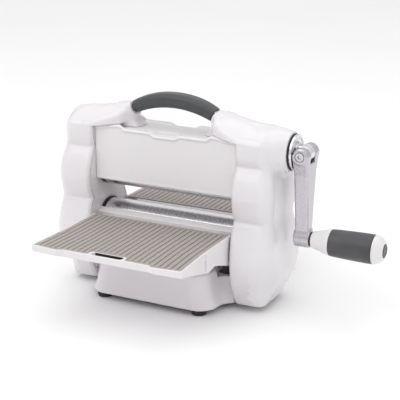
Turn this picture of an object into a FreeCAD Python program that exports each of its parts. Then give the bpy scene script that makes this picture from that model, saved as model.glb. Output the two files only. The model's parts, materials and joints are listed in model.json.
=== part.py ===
import FreeCAD, Part
import math
import os

import Sketcher
from FreeCAD import Placement, Rotation, Vector

# Hand-cranked roller die cutting machine with fold-out trays, millimetres.
# +X points to the crank side, -Y to the front, +Z up. Z = 0 is the table top
# and the Y = 0 plane holds both roller axes and the crank axis.

os.makedirs("parts", exist_ok=True)
doc = FreeCAD.newDocument("die_cutting_machine")

# ---------------------------------------------------------------- dimensions
DIMS = [
    ("half_slot", 82.0, "half width between the inner cheeks"),
    ("cheek_t", 2.6, "cheek thickness"),
    ("frame_t", 3.0, "steel side plate thickness"),
    ("frame_half", 24.0, "side plate half depth"),
    ("frame_bot", 30.0, "side plate bottom"),
    ("frame_top", 178.0, "side plate top"),
    ("wall", 3.0, "casing wall"),
    ("roller_r", 21.0, "roller radius"),
    ("roller_half", 79.2, "roller half length"),
    ("lower_z", 67.5, "lower roller axis height"),
    ("upper_z", 127.5, "upper roller axis height"),
    ("crank_z", 165.9, "crank axis height"),
    ("shaft_r", 7.0, "roller journal radius"),
    ("crank_r", 6.5, "crank shaft radius"),
    ("run_fit", 0.05, "radial running clearance"),
    ("bush_r", 10.0, "bush sleeve radius"),
    ("bush_flange", 22.5, "black flange radius of the lower bushes"),
    ("bush_flange_up", 21.2, "black flange radius of the upper bushes"),
    ("sync_teeth", 30.0, "teeth of each sync gear"),
    ("sync_mod", 2.0, "module of the sync gears"),
    ("pinion_teeth", 14.0, "teeth of the crank pinion"),
    ("drive_teeth", 42.0, "teeth of the drive gear"),
    ("gear_in", 93.0, "inner gear face from the middle"),
    ("gear_w", 8.0, "gear width"),
    ("panel_y", 24.5, "front face of the panels from the roller plane"),
    ("panel_t", 2.5, "panel thickness"),
    ("panel_bot", 117.8, "panel bottom edge"),
    ("cont_end", 174.2, "panel contour height at the ends"),
    ("cont_ramp", 178.3, "panel contour height beside the ramps"),
    ("cont_mid", 174.2, "panel contour height in the middle"),
    ("ramp_in", 46.7, "inner end of the contour ramps"),
    ("ramp_out", 52.9, "outer end of the contour ramps"),
    ("notch_half", 15.0, "finger notch half width"),
    ("notch_deep", 5.0, "finger notch depth"),
    ("hinge_y", 37.0, "tray hinge from the roller plane"),
    ("hinge_z", 69.5, "tray hinge height"),
    ("pin_r", 2.5, "tray hinge pin radius"),
    ("tray_half", 80.7, "tray half width"),
    ("tray_top", 81.5, "tray rim top"),
    ("tray_back", 34.0, "tray rear edge from the roller plane"),
    ("tray_corner", 147.6, "tray front edge at the corners"),
    ("tray_ramp", 149.8, "tray front edge beside the ramps"),
    ("tray_mid", 146.2, "tray front edge in the middle"),
    ("tray_skin", 2.5, "tray wall"),
    ("barrel_half", 66.0, "half length of the tray's hinge barrel"),
    ("pad_t", 2.2, "tray pad thickness"),
    ("base_bot", 6.0, "underside of the base"),
    ("base_top", 47.0, "top of the base aprons"),
    ("base_front", 65.0, "base apron front from the middle"),
    ("wing_top", 14.0, "top of the side wings"),
    ("wing_end", 115.0, "end of the side wings"),
    ("wing_half", 27.0, "half depth of the side wings"),
    ("foot_x", 55.5, "foot position across"),
    ("foot_y", 56.0, "foot position in depth"),
    ("foot_r", 8.0, "foot radius"),
    ("grip_c", 92.0, "height of the handle arc centre"),
    ("grip_in", 105.0, "handle arc inner radius"),
    ("grip_out", 120.4, "handle arc outer radius"),
    ("grip_half", 10.0, "handle half depth"),
    ("grip_ang", 49.6, "handle grip angle"),
    ("core_ang", 55.0, "handle core angle"),
    ("bridge_bot", 171.5, "underside of the top bridge"),
    ("bridge_top", 174.0, "top of the top bridge"),
    ("hub_x", 133.1, "inner face of the hub disc"),
    ("hub_r", 18.0, "hub disc radius"),
    ("fold_x", 144.5, "crank fold axis from the middle"),
    ("fold_r", 8.0, "fork ear radius"),
    ("fork_gap", 6.0, "fork half gap"),
    ("fork_half", 16.5, "fork half width"),
    ("grip_z", 78.0, "crank grip axis height"),
    ("boss_r", 9.0, "crank arm lower boss radius"),
    ("spin_r", 4.0, "grip spindle radius"),
]
sheet = doc.addObject("Spreadsheet::Sheet", "dims")
for row, (alias, value, note) in enumerate(DIMS, start=1):
    sheet.set("A%d" % row, alias)
    sheet.set("B%d" % row, repr(value))
    sheet.set("C%d" % row, note)
    sheet.setAlias("B%d" % row, alias)
doc.recompute()


class Q:
    """A size with the expression that drives it and its present value."""

    def __init__(self, text, value):
        self.t = text
        self.v = value

    def __add__(self, o):
        o = q(o)
        return Q("(%s + %s)" % (self.t, o.t), self.v + o.v)

    def __radd__(self, o):
        return q(o) + self

    def __sub__(self, o):
        o = q(o)
        return Q("(%s - %s)" % (self.t, o.t), self.v - o.v)

    def __rsub__(self, o):
        return q(o) - self

    def __mul__(self, o):
        o = q(o)
        return Q("(%s * %s)" % (self.t, o.t), self.v * o.v)

    def __rmul__(self, o):
        return q(o) * self

    def __neg__(self):
        return Q("(0 - %s)" % self.t, -self.v)


def q(a):
    if isinstance(a, Q):
        return a
    a = float(a)
    return Q("(0 - %s)" % repr(-a) if a < 0 else repr(a), a)


class Dims:
    pass


d = Dims()
for alias, value, note in DIMS:
    setattr(d, alias, Q("dims." + alias, float(sheet.get(alias))))

nodes = []


def node(obj, label):
    obj.Label = label
    nodes.append(obj)
    return obj


def place(obj, x, y, z, rot=None):
    obj.Placement = Placement(Vector(0, 0, 0), rot or Rotation())
    for prop, val in (("x", x), ("y", y), ("z", z)):
        val = q(val)
        if "dims." in val.t:
            obj.setExpression("Placement.Base." + prop, val.t)
        else:
            base = obj.Placement.Base
            setattr(base, prop, val.v)
            obj.Placement = Placement(base, obj.Placement.Rotation)


def bind(obj, prop, val):
    val = q(val)
    setattr(obj, prop, val.v)
    if "dims." in val.t:
        obj.setExpression(prop, val.t)


def box(x0, x1, y0, y1, z0, z1, name="block"):
    o = doc.addObject("Part::Box", name)
    bind(o, "Length", q(x1) - q(x0))
    bind(o, "Width", q(y1) - q(y0))
    bind(o, "Height", q(z1) - q(z0))
    place(o, x0, y0, z0)
    return o


ROT = {"x": Rotation(Vector(0, 1, 0), 90), "y": Rotation(Vector(1, 0, 0), -90), "z": Rotation()}


def cyl(axis, r, a0, a1, c1, c2, name="round"):
    """Cylinder along an axis from a0 to a1; c1, c2 are the other two coordinates."""
    o = doc.addObject("Part::Cylinder", name)
    bind(o, "Radius", r)
    bind(o, "Height", q(a1) - q(a0))
    pos = {"x": (a0, c1, c2), "y": (c1, a0, c2), "z": (c1, c2, a0)}[axis]
    place(o, pos[0], pos[1], pos[2], ROT[axis])
    return o


def cone(axis, r0, r1, a0, a1, c1, c2, name="taper"):
    o = doc.addObject("Part::Cone", name)
    bind(o, "Radius1", r0)
    bind(o, "Radius2", r1)
    bind(o, "Height", q(a1) - q(a0))
    pos = {"x": (a0, c1, c2), "y": (c1, a0, c2), "z": (c1, c2, a0)}[axis]
    place(o, pos[0], pos[1], pos[2], ROT[axis])
    return o


def fuse(*objs, name="joined"):
    if len(objs) == 1:
        return objs[0]
    o = doc.addObject("Part::MultiFuse", name)
    o.Shapes = list(objs)
    return o


def group(*objs, name="set_of"):
    o = doc.addObject("Part::Compound", name)
    o.Links = list(objs)
    return o


def cut(base, *tools, name="trimmed"):
    o = doc.addObject("Part::Cut", name)
    o.Base = base
    o.Tool = fuse(*tools)
    return o


def common(a, b, name="shared"):
    o = doc.addObject("Part::Common", name)
    o.Base = a
    o.Tool = b
    return o


def mirrored(src, normal, name="mirror"):
    o = doc.addObject("Part::Mirroring", name)
    o.Source = src
    o.Normal = normal
    return o


# ------------------------------------------------------- sketch based bodies
def sketch(body, role, name, offset=None):
    sk = body.newObject("Sketcher::SketchObject", name)
    plane = [f for f in body.Origin.OriginFeatures if f.Role == role][0]
    sk.AttachmentSupport = [(plane, "")]
    sk.MapMode = "FlatFace"
    if offset is not None:
        off = q(offset)
        sk.AttachmentOffset = Placement(Vector(0, 0, off.v), Rotation())
        if "dims." in off.t:
            sk.setExpression("AttachmentOffset.Base.z", off.t)
    return sk


def pin_coord(sk, kind, axis_geo, geo, pos, val):
    val = q(val)
    if abs(val.v) < 1e-9:
        sk.addConstraint(Sketcher.Constraint("PointOnObject", geo, pos, axis_geo))
        return
    if val.v > 0:
        i = sk.addConstraint(Sketcher.Constraint(kind, -1, 1, geo, pos, val.v))
        text = val.t
    else:
        i = sk.addConstraint(Sketcher.Constraint(kind, geo, pos, -1, 1, -val.v))
        text = (-val).t
    if "dims." in text:
        sk.setExpression("Constraints[%d]" % i, text)


def outline(sk, pts):
    """Closed outline of straight edges, each corner placed from the origin."""
    first = sk.GeometryCount
    n = len(pts)
    v = [Vector(q(a).v, q(b).v, 0) for a, b in pts]
    for i in range(n):
        sk.addGeometry(Part.LineSegment(v[i], v[(i + 1) % n]), False)
    for i in range(n):
        sk.addConstraint(Sketcher.Constraint("Coincident", first + i, 2, first + (i + 1) % n, 1))
    for i, (a, b) in enumerate(pts):
        pin_coord(sk, "DistanceX", -2, first + i, 1, a)
        pin_coord(sk, "DistanceY", -1, first + i, 1, b)


def circle(sk, a, b, r):
    g = sk.addGeometry(Part.Circle(Vector(q(a).v, q(b).v, 0), Vector(0, 0, 1), q(r).v), False)
    i = sk.addConstraint(Sketcher.Constraint("Radius", g, q(r).v))
    if "dims." in q(r).t:
        sk.setExpression("Constraints[%d]" % i, q(r).t)
    pin_coord(sk, "DistanceX", -2, g, 3, a)
    pin_coord(sk, "DistanceY", -1, g, 3, b)


def new_body(name):
    return doc.addObject("PartDesign::Body", name)


def pad(body, sk, length, back=False):
    f = body.newObject("PartDesign::Pad", "pad")
    f.Profile = sk
    bind(f, "Length", length)
    f.Reversed = back
    doc.recompute()
    return f


def pocket(body, sk, length, along=False):
    """Cut against the sketch normal, or along it."""
    before = body.Shape.Volume
    f = body.newObject("PartDesign::Pocket", "pocket")
    f.Profile = sk
    bind(f, "Length", length)
    f.Reversed = along
    doc.recompute()
    if not body.Shape.Volume < before - 1e-3:
        raise RuntimeError("a pocket of %s cut nothing" % body.Label)
    return f


def turned(name, pts, axis="H_Axis", role="XZ_Plane"):
    """Body of revolution about the sketch's own horizontal axis."""
    b = new_body(name)
    sk = sketch(b, role, name + "_section")
    outline(sk, pts)
    f = b.newObject("PartDesign::Revolution", "turn")
    f.Profile = sk
    f.ReferenceAxis = (sk, [axis])
    f.Angle = 360.0
    doc.recompute()
    return b


def plate_x(name, pts, x0, thick, holes=()):
    """Flat plate in a YZ plane from x0, with round holes."""
    b = new_body(name)
    sk = sketch(b, "YZ_Plane", name + "_outline", x0)
    outline(sk, pts)
    for (a, c, r) in holes:
        circle(sk, a, c, r)
    pad(b, sk, thick)
    return b


# ------------------------------------------------------------ side casings
# Height, half depth and outer reach of the three lobes of a side casing.
LOWER = [(14, 24, 110), (17, 30.5, 115), (22, 36, 119.5), (30, 41, 123.2), (40, 43.8, 125.6), (52, 45, 126.5),
         (64, 45, 126.5), (76, 43.2, 125.2), (86, 40, 123), (93, 37, 121.3), (97, 34.5, 119.6)]
MIDDLE = [(97, 34.5, 119.6), (101, 37, 120.8), (107, 39.2, 121.8), (115, 40.8, 122.4), (122, 41.2, 122.5),
          (130, 40.2, 122.1), (138, 37.5, 121), (145, 34, 119.6), (150, 31, 118.3), (152.5, 29.5, 117.5)]
UPPER = [(152.5, 29.5, 117.5), (156, 31, 118.3), (162, 32, 118.7), (170, 32, 118.7), (177, 31.2, 118),
         (182, 29.2, 116.3), (186, 26, 113.3), (189, 21.5, 108.8), (190.5, 16.5, 103.5)]


def ring(z, yf, xo, xi, rc, ri):
    """Level section of a casing: flat inner side, large outer corners."""
    k = math.sqrt(0.5)
    e = []
    e.append(Part.LineSegment(Vector(xi + ri, -yf, z), Vector(xo - rc, -yf, z)).toShape())
    e.append(Part.Arc(Vector(xo - rc, -yf, z), Vector(xo - rc + rc * k, -yf + rc - rc * k, z), Vector(xo, -yf + rc, z)).toShape())
    e.append(Part.LineSegment(Vector(xo, -yf + rc, z), Vector(xo, yf - rc, z)).toShape())
    e.append(Part.Arc(Vector(xo, yf - rc, z), Vector(xo - rc + rc * k, yf - rc + rc * k, z), Vector(xo - rc, yf, z)).toShape())
    e.append(Part.LineSegment(Vector(xo - rc, yf, z), Vector(xi + ri, yf, z)).toShape())
    e.append(Part.Arc(Vector(xi + ri, yf, z), Vector(xi + ri - ri * k, yf - ri + ri * k, z), Vector(xi, yf - ri, z)).toShape())
    e.append(Part.LineSegment(Vector(xi, yf - ri, z), Vector(xi, -yf + ri, z)).toShape())
    e.append(Part.Arc(Vector(xi, -yf + ri, z), Vector(xi + ri - ri * k, -yf + ri - ri * k, z), Vector(xi + ri, -yf, z)).toShape())
    return Part.Wire(e)


def lobes(inset, xi, low, high):
    """The three lobes, drawn in by inset all round."""
    parts = []
    for table in (LOWER, MIDDLE, UPPER):
        rows = [r for r in table if low + 0.6 < r[0] < high - 0.6]
        if table is LOWER and low > table[0][0]:
            rows.insert(0, between(table, low))
        elif table is LOWER:
            rows.insert(0, table[0])
        if table is UPPER and high < table[-1][0]:
            rows.append(between(table, high))
        elif table is UPPER:
            rows.append(table[-1])
        wires = []
        for z, yf, xo in rows:
            yy, xx = yf - inset, xo - inset
            rc = min(15.0 - inset, yy * 0.82)
            wires.append(ring(z, yy, xx, xi, rc, 2.0))
        parts.append(Part.makeLoft(wires, True, False, False))
    return parts[0].fuse(parts[1:])


def between(table, z):
    for a, b in zip(table, table[1:]):
        if a[0] <= z <= b[0]:
            f = (z - a[0]) / (b[0] - a[0])
            return (z, a[1] + f * (b[1] - a[1]), a[2] + f * (b[2] - a[2]))
    raise RuntimeError("height outside the casing")


def shoulder():
    """Slope from the casing up to the end of the handle."""
    wires = []
    for x, w, zb, zs, zt in ((84.4, 29.6, 174.5, 178.0, 189.0), (76.0, 28.2, 175.3, 178.6, 190.2),
                             (66.0, 25.6, 176.7, 179.8, 193.0), (56.0, 22.0, 178.2, 181.0, 196.6)):
        a, b, c, e, t = (Vector(x, -w, zb), Vector(x, w, zb), Vector(x, w, zs), Vector(x, -w, zs), Vector(x, 0, zt))
        wires.append(Part.Wire([Part.LineSegment(a, b).toShape(), Part.LineSegment(b, c).toShape(),
                                Part.Arc(c, t, e).toShape(), Part.LineSegment(e, a).toShape()]))
    return Part.makeLoft(wires, True, False, False)


def arc_bar(r0, r1, half, ang, cham):
    """Bar bent about the handle's arc centre, from one side to the other."""
    c = d.grip_c.v
    pts = [(-half + cham, r0), (half - cham, r0), (half, r0 + cham), (half, r1 - cham), (half - cham, r1),
           (-half + cham, r1), (-half, r1 - cham), (-half, r0 + cham)]
    poly = Part.makePolygon([Vector(0, a, c + b) for a, b in pts + pts[:1]])
    face = Part.Face(poly)
    face.rotate(Vector(0, 0, c), Vector(0, 1, 0), -ang / 2.0)
    return face.revolve(Vector(0, 0, c), Vector(0, 1, 0), ang)


def casing(side):
    """One lobed side casing; side is +1 for the crank side."""
    wall = d.wall.v
    outer = lobes(0.0, d.half_slot.v, 14.0, 189.0)
    hollow = lobes(wall, d.half_slot.v - 6.0, 14.0 + wall + 0.5, 189.0 - wall - 1.5)
    sh = outer
    if side > 0:
        # boss that carries the collar of the crank hub
        boss = Part.makeCone(22.0, 20.5, 24.5, Vector(106.0, 0, d.crank_z.v), Vector(1, 0, 0))
        sh = sh.fuse(boss)
    sh = sh.cut(hollow)
    if side > 0:
        bore = Part.makeCone(18.8, 17.3, 22.0, Vector(105.0, 0, d.crank_z.v), Vector(1, 0, 0))
        hole = Part.makeCylinder(14.0, 40.0, Vector(100.0, 0, d.crank_z.v), Vector(1, 0, 0))
        sh = sh.cut(bore).cut(hole)
    # shoulder and handle post, hollowed from below
    sho = shoulder().cut(Part.makeBox(17.0, 36.0, 14.0, Vector(62.0, -18.0, 170.0)))
    post = Part.makeBox(22.0, 2 * d.grip_half.v, 26.0, Vector(36.0, -d.grip_half.v, d.bridge_top.v))
    limit = Part.makeCylinder(d.grip_in.v, 60.0, Vector(0, -30.0, d.grip_c.v), Vector(0, 1, 0))
    post = post.common(limit)
    half_space = Part.makeBox(120.0, 80.0, 160.0, Vector(0, -40.0, 100.0))
    arm_end = arc_bar(d.grip_in.v, d.grip_out.v, d.grip_half.v, 64.0, 5.0).common(half_space)
    sh = sh.fuse([sho, post, arm_end])
    ring_out = Part.makeCylinder(d.grip_out.v + 8.0, 60.0, Vector(0, -30.0, d.grip_c.v), Vector(0, 1, 0))
    ring_in = Part.makeCylinder(d.grip_in.v, 60.0, Vector(0, -30.0, d.grip_c.v), Vector(0, 1, 0))
    a = math.radians(d.grip_ang.v / 2.0)
    far = 200.0
    wedge = Part.Face(Part.makePolygon([Vector(0, -30.0, d.grip_c.v), Vector(-far * math.sin(a), -30.0, d.grip_c.v + far * math.cos(a)),
                                        Vector(far * math.sin(a), -30.0, d.grip_c.v + far * math.cos(a)), Vector(0, -30.0, d.grip_c.v)]))
    wedge = wedge.extrude(Vector(0, 60.0, 0))
    sh = sh.cut(ring_out.cut(ring_in).common(wedge))
    sh = sh.cut(arc_bar(d.grip_in.v + 4.0, d.grip_out.v - 4.0, 6.0, d.core_ang.v, 1.0))
    # holes of the screws that come up through the base wings
    for y in (-12.0, 12.0):
        sh = sh.cut(Part.makeCylinder(2.0, 30.0, Vector(96.0, y, 5.0)))
    if side < 0:
        sh = sh.mirror(Vector(0, 0, 0), Vector(1, 0, 0))
    return sh


def feature(label, shape, where=None):
    o = doc.addObject("Part::Feature", label)
    o.Shape = shape
    o.Placement = where or Placement()
    return node(o, label)


def whole(shape):
    solids = shape.Solids
    if len(solids) != 1:
        raise RuntimeError("expected one solid, got %d" % len(solids))
    return solids[0]


feature("left_shell", whole(casing(-1)))
feature("right_shell", whole(casing(1)))

# ------------------------------------------------------------ inner cheeks
cheek_form = doc.addObject("Part::Feature", "cheek_form")
cheek_form.Shape = lobes(d.wall.v + 0.15, d.half_slot.v - 5.0, 18.0, 180.0)
slab = box(d.half_slot, d.half_slot + d.cheek_t, -60, 60, 18.0, 174.2, "cheek_slab")
rods_at = ((-15.0, 150.0), (15.0, 150.0), (-15.0, 43.5), (15.0, 43.5))
tools = [cyl("x", d.bush_r, 70, 95, 0, d.lower_z), cyl("x", d.bush_r, 70, 95, 0, d.upper_z),
         cyl("x", d.pin_r, 70, 95, -d.hinge_y, d.hinge_z), cyl("x", d.pin_r, 70, 95, d.hinge_y, d.hinge_z)]
tools += [cyl("x", 5.0, 70, 95, y, z) for y, z in rods_at]
right_cheek = node(cut(common(cheek_form, slab), *tools), "right_cheek")
left_cheek = node(mirrored(right_cheek, Vector(1, 0, 0)), "left_cheek")

# ------------------------------------------------------- steel side plates
fx = d.half_slot + d.cheek_t
side_pts = [(-d.frame_half, d.frame_bot + 8), (-d.frame_half + 8, d.frame_bot), (d.frame_half - 8, d.frame_bot), (d.frame_half, d.frame_bot + 8),
            (d.frame_half, d.frame_top - 6), (d.frame_half - 6, d.frame_top), (-d.frame_half + 6, d.frame_top), (-d.frame_half, d.frame_top - 6)]
common_holes = [(0, d.lower_z, d.bush_r), (0, d.upper_z, d.bush_r)] + [(y, z, 2.5) for y, z in rods_at]
node(plate_x("right_frame", side_pts, fx, d.frame_t, common_holes + [(0, d.crank_z, d.bush_r)]), "right_frame")
node(plate_x("left_frame", side_pts, -fx - d.frame_t, d.frame_t, common_holes), "left_frame")

br_x = 106.0
br_pts = [(-21, 158), (-17, 154), (17, 154), (21, 158), (21, 174), (17, 178), (-17, 178), (-21, 174)]
node(plate_x("gear_bracket", br_pts, br_x, 3.0, [(0, d.crank_z, d.bush_r)]), "gear_bracket")
stand = [cyl("x", 3.5, fx + d.frame_t, br_x, y, z) for y, z in ((-17, 160), (17, 160), (-17, 173), (17, 173))]
node(group(*stand), "bracket_standoffs")

# ----------------------------------------------------- tie rods and screws
rods, rod_screws = [], []
for y, z in rods_at:
    rod = cyl("x", 5.0, -fx, fx, y, z)
    rods.append(cut(rod, cyl("x", 2.5, -fx, -fx + 10, y, z), cyl("x", 2.5, fx - 10, fx, y, z)))
    for s in (-1, 1):
        if s > 0:
            shank = cyl("x", 2.5, fx - 9, fx + d.frame_t, y, z)
            head = cyl("x", 4.5, fx + d.frame_t, fx + d.frame_t + 3, y, z)
            socket = cyl("x", 2.0, fx + d.frame_t + 1.2, fx + d.frame_t + 4, y, z)
        else:
            shank = cyl("x", 2.5, -fx - d.frame_t, -fx + 9, y, z)
            head = cyl("x", 4.5, -fx - d.frame_t - 3, -fx - d.frame_t, y, z)
            socket = cyl("x", 2.0, -fx - d.frame_t - 4, -fx - d.frame_t - 1.2, y, z)
        rod_screws.append(cut(fuse(shank, head), socket))
node(group(*rods), "tie_rods")
node(group(*rod_screws), "tie_rod_screws")

# ------------------------------------------------------------- top bridge
b = new_body("top_bridge")
sk = sketch(b, "XY_Plane", "bridge_outline", d.bridge_bot)
by = d.panel_y - d.panel_t
outline(sk, [(-d.half_slot, -by), (d.half_slot, -by), (d.half_slot, by), (-d.half_slot, by)])
pad(b, sk, d.bridge_top - d.bridge_bot)
node(b, "top_bridge")

# -------------------------------------------------- panels above the slot
b = new_body("front_panel")
sk = sketch(b, "XZ_Plane", "panel_outline", d.panel_y - d.panel_t)
px = d.half_slot
outline(sk, [(-px, d.panel_bot), (px, d.panel_bot), (px, d.cont_end), (d.ramp_out, d.cont_ramp), (d.ramp_in, d.cont_mid),
             (d.notch_half + 3, d.cont_mid), (d.notch_half - 3, d.cont_mid - d.notch_deep), (-d.notch_half + 3, d.cont_mid - d.notch_deep),
             (-d.notch_half - 3, d.cont_mid), (-d.ramp_in, d.cont_mid), (-d.ramp_out, d.cont_ramp), (-px, d.cont_end)])
pad(b, sk, d.panel_t)
# return lip along the bottom edge
sk = sketch(b, "YZ_Plane", "lip_outline", -px)
outline(sk, [(-d.panel_y + 1.0, d.panel_bot), (-d.panel_y + 5.5, d.panel_bot - 3.4), (-d.panel_y + 6.5, d.panel_bot - 2.2), (-d.panel_y + d.panel_t, d.panel_bot + 0.6),
              (-d.panel_y + d.panel_t, d.panel_bot + 2), (-d.panel_y + 1.0, d.panel_bot + 2)])
pad(b, sk, 2 * px)
front_panel = node(b, "front_panel")
node(mirrored(front_panel, Vector(0, 1, 0)), "rear_panel")

# -------------------------------------- sills between trays and lower roller
b = new_body("front_sill")
sk = sketch(b, "YZ_Plane", "sill_outline", -d.half_slot)
outline(sk, [(-d.panel_y, 80.9), (-d.panel_y + 0.6, 81.5), (-16.0, 84.0), (-16.0, 82.2), (-22.3, 80.5), (-22.3, d.base_top), (-d.panel_y, d.base_top)])
pad(b, sk, 2 * d.half_slot)
# relief over the bush flanges at both ends
for s in (-1, 1):
    sk = sketch(b, "YZ_Plane", "end_relief_%d" % (s + 1), -d.half_slot if s < 0 else d.half_slot - 3.2)
    circle(sk, 0, d.lower_z, d.bush_flange + 0.3)
    pocket(b, sk, 3.2, True)
front_sill = node(b, "front_sill")
node(mirrored(front_sill, Vector(0, 1, 0)), "rear_sill")

# --------------------------------------------------------------- the base
b = new_body("base_pan")
sk = sketch(b, "XY_Plane", "base_outline", d.base_bot)
half = [(50, -d.base_front), (58, -d.base_front + 3), (63, -d.base_front + 9), (64.5, -d.base_front + 17), (66.5, -36), (71.5, -28), (d.half_slot, -24)]
plan = [(-x, y) for x, y in reversed(half)] + half
plan = plan + [(x, -y) if isinstance(y, Q) else (x, -y) for x, y in reversed(plan)]
outline(sk, plan)
pad(b, sk, d.base_top - d.base_bot)
# side wings under the casings
for s in (-1, 1):
    sk = sketch(b, "XY_Plane", "wing_%d" % (s + 1), d.base_bot)
    outline(sk, [(s * 78, -d.wing_half), (s * d.wing_end, -d.wing_half + 3), (s * d.wing_end, d.wing_half - 3), (s * 78, d.wing_half)])
    pad(b, sk, d.wing_top - d.base_bot)
# trough under the lower roller
sk = sketch(b, "XY_Plane", "trough", d.base_top)
outline(sk, [(-82, -22.0), (82, -22.0), (82, 22.0), (-82, 22.0)])
pocket(b, sk, 9.0)
# hollows from below, front, rear and middle
for s in (-1, 1):
    sk = sketch(b, "XY_Plane", "hollow_%d" % (s + 1), d.base_bot)
    outline(sk, [(-59, s * 50), (-50, s * (d.base_front - 3)), (50, s * (d.base_front - 3)), (59, s * 50), (63, s * 34), (63, s * 25), (-63, s * 25), (-63, s * 34)])
    pocket(b, sk, d.base_top - d.base_bot - 2.5, True)
sk = sketch(b, "XY_Plane", "hollow_mid", d.base_bot)
outline(sk, [(-76, -21), (76, -21), (76, 21), (-76, 21)])
pocket(b, sk, 29.5, True)
# bosses for the feet
for i, (sx, sy) in enumerate(((-1, -1), (1, -1), (1, 1), (-1, 1))):
    sk = sketch(b, "XY_Plane", "boss_%d" % i, d.base_bot)
    circle(sk, sx * d.foot_x, sy * d.foot_y, 6.5)
    pad(b, sk, d.base_top - d.base_bot - 1.0)
for i, (sx, sy) in enumerate(((-1, -1), (1, -1), (1, 1), (-1, 1))):
    sk = sketch(b, "XY_Plane", "screw_hole_%d" % i, d.base_bot)
    circle(sk, sx * d.foot_x, sy * d.foot_y, 2.0)
    pocket(b, sk, 12.0, True)
# holes and recesses of the casing screws
for i, (sx, y) in enumerate(((-1, -12), (-1, 12), (1, -12), (1, 12))):
    sk = sketch(b, "XY_Plane", "wing_hole_%d" % i, d.base_bot)
    circle(sk, sx * 96, y, 2.0)
    pocket(b, sk, 10.0, True)
    sk = sketch(b, "XY_Plane", "wing_recess_%d" % i, d.base_bot)
    circle(sk, sx * 96, y, 4.2)
    pocket(b, sk, 3.2, True)
node(b, "base_pan")

feet, foot_screws, shell_screws = [], [], []
for sx, sy in ((-1, -1), (1, -1), (1, 1), (-1, 1)):
    x, y = sx * d.foot_x, sy * d.foot_y
    foot = fuse(cone("z", d.foot_r - 0.8, d.foot_r, 0, 4.0, x, y), cyl("z", d.foot_r, 4.0, d.base_bot, x, y))
    feet.append(cut(foot, cyl("z", 2.0, -1, 8, x, y), cyl("z", 4.2, -1, 3.0, x, y)))
    screw = fuse(cyl("z", 2.0, 3.0, 16, x, y), cyl("z", 4.0, 1.0, 3.0, x, y))
    foot_screws.append(cut(screw, cyl("z", 1.2, 0.5, 2.0, x, y)))
node(group(*feet), "rubber_feet")
node(group(*foot_screws), "foot_screws")
for sx in (-1, 1):
    for y in (-12.0, 12.0):
        screw = fuse(cyl("z", 2.0, d.base_bot + 3.2, 24.0, sx * 96.0, y), cyl("z", 3.8, d.base_bot + 0.7, d.base_bot + 3.2, sx * 96.0, y))
        shell_screws.append(cut(screw, cyl("z", 1.2, d.base_bot, d.base_bot + 1.8, sx * 96.0, y)))
node(group(*shell_screws), "shell_screws")

# ----------------------------------------------------------------- handle
core = arc_bar(d.grip_in.v + 4.0, d.grip_out.v - 4.0, 6.0, d.core_ang.v, 1.0)
feature("handle_core", whole(core))
grip = arc_bar(d.grip_in.v, d.grip_out.v, d.grip_half.v, d.grip_ang.v, 5.0).cut(core)
feature("handle_grip", whole(grip))

# ------------------------------------------------------- rollers and bushes
def bush(label, x_sign, z, flange):
    a, bb, c = d.half_slot - 2.5, d.half_slot, fx + d.frame_t + 1.4
    r0 = d.shaft_r + d.run_fit
    pts = [(a, r0), (c, r0), (c, d.bush_r), (bb, d.bush_r), (bb, flange), (a, flange)]
    if x_sign < 0:
        pts = [(-x, r) for x, r in reversed(pts)]
    o = turned(label, pts)
    place(o, 0, 0, z)
    return node(o, label)


bush("lower_left_bush", -1, d.lower_z, d.bush_flange)
bush("lower_right_bush", 1, d.lower_z, d.bush_flange)
bush("upper_left_bush", -1, d.upper_z, d.bush_flange_up)
bush("upper_right_bush", 1, d.upper_z, d.bush_flange_up)

ge = d.gear_in + d.gear_w
re = fx + d.frame_t + 6
tube_in = d.roller_r - 4.0


def roller(label, z):
    rh, rr = d.roller_half, d.roller_r
    o = turned(label, [(-rh, tube_in), (rh, tube_in), (rh, rr - 0.6), (rh - 0.6, rr), (-rh + 0.6, rr), (-rh, rr - 0.6)])
    place(o, 0, 0, z)
    return node(o, label)


def roller_shaft(label, right_end, z):
    rh, rs = d.roller_half, d.shaft_r
    o = turned(label, [(-ge - 4, 0), (right_end, 0), (right_end, rs - 1), (right_end - 1, rs), (rh - 0.5, rs), (rh - 0.5, tube_in), (rh - 8.5, tube_in), (rh - 8.5, rs),
                       (-rh + 8.5, rs), (-rh + 8.5, tube_in), (-rh + 0.5, tube_in), (-rh + 0.5, rs), (-ge - 3, rs), (-ge - 4, rs - 1)])
    place(o, 0, 0, z)
    return node(o, label)


roller("upper_roller", d.upper_z)
roller_shaft("upper_roller_shaft", ge + 4, d.upper_z)
roller("lower_roller", d.lower_z)
roller_shaft("lower_roller_shaft", re, d.lower_z)


def clip_ring(x0, z):
    return cut(cyl("x", 10.0, x0, x0 + 1.4, 0, z), cyl("x", d.shaft_r, x0 - 1, x0 + 3, 0, z))


node(group(clip_ring(ge + 0.3, d.upper_z), clip_ring(-ge - 1.7, d.upper_z)), "upper_roller_clips")
node(group(clip_ring(re - 3.0, d.lower_z), clip_ring(-ge - 1.7, d.lower_z)), "lower_roller_clips")


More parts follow.
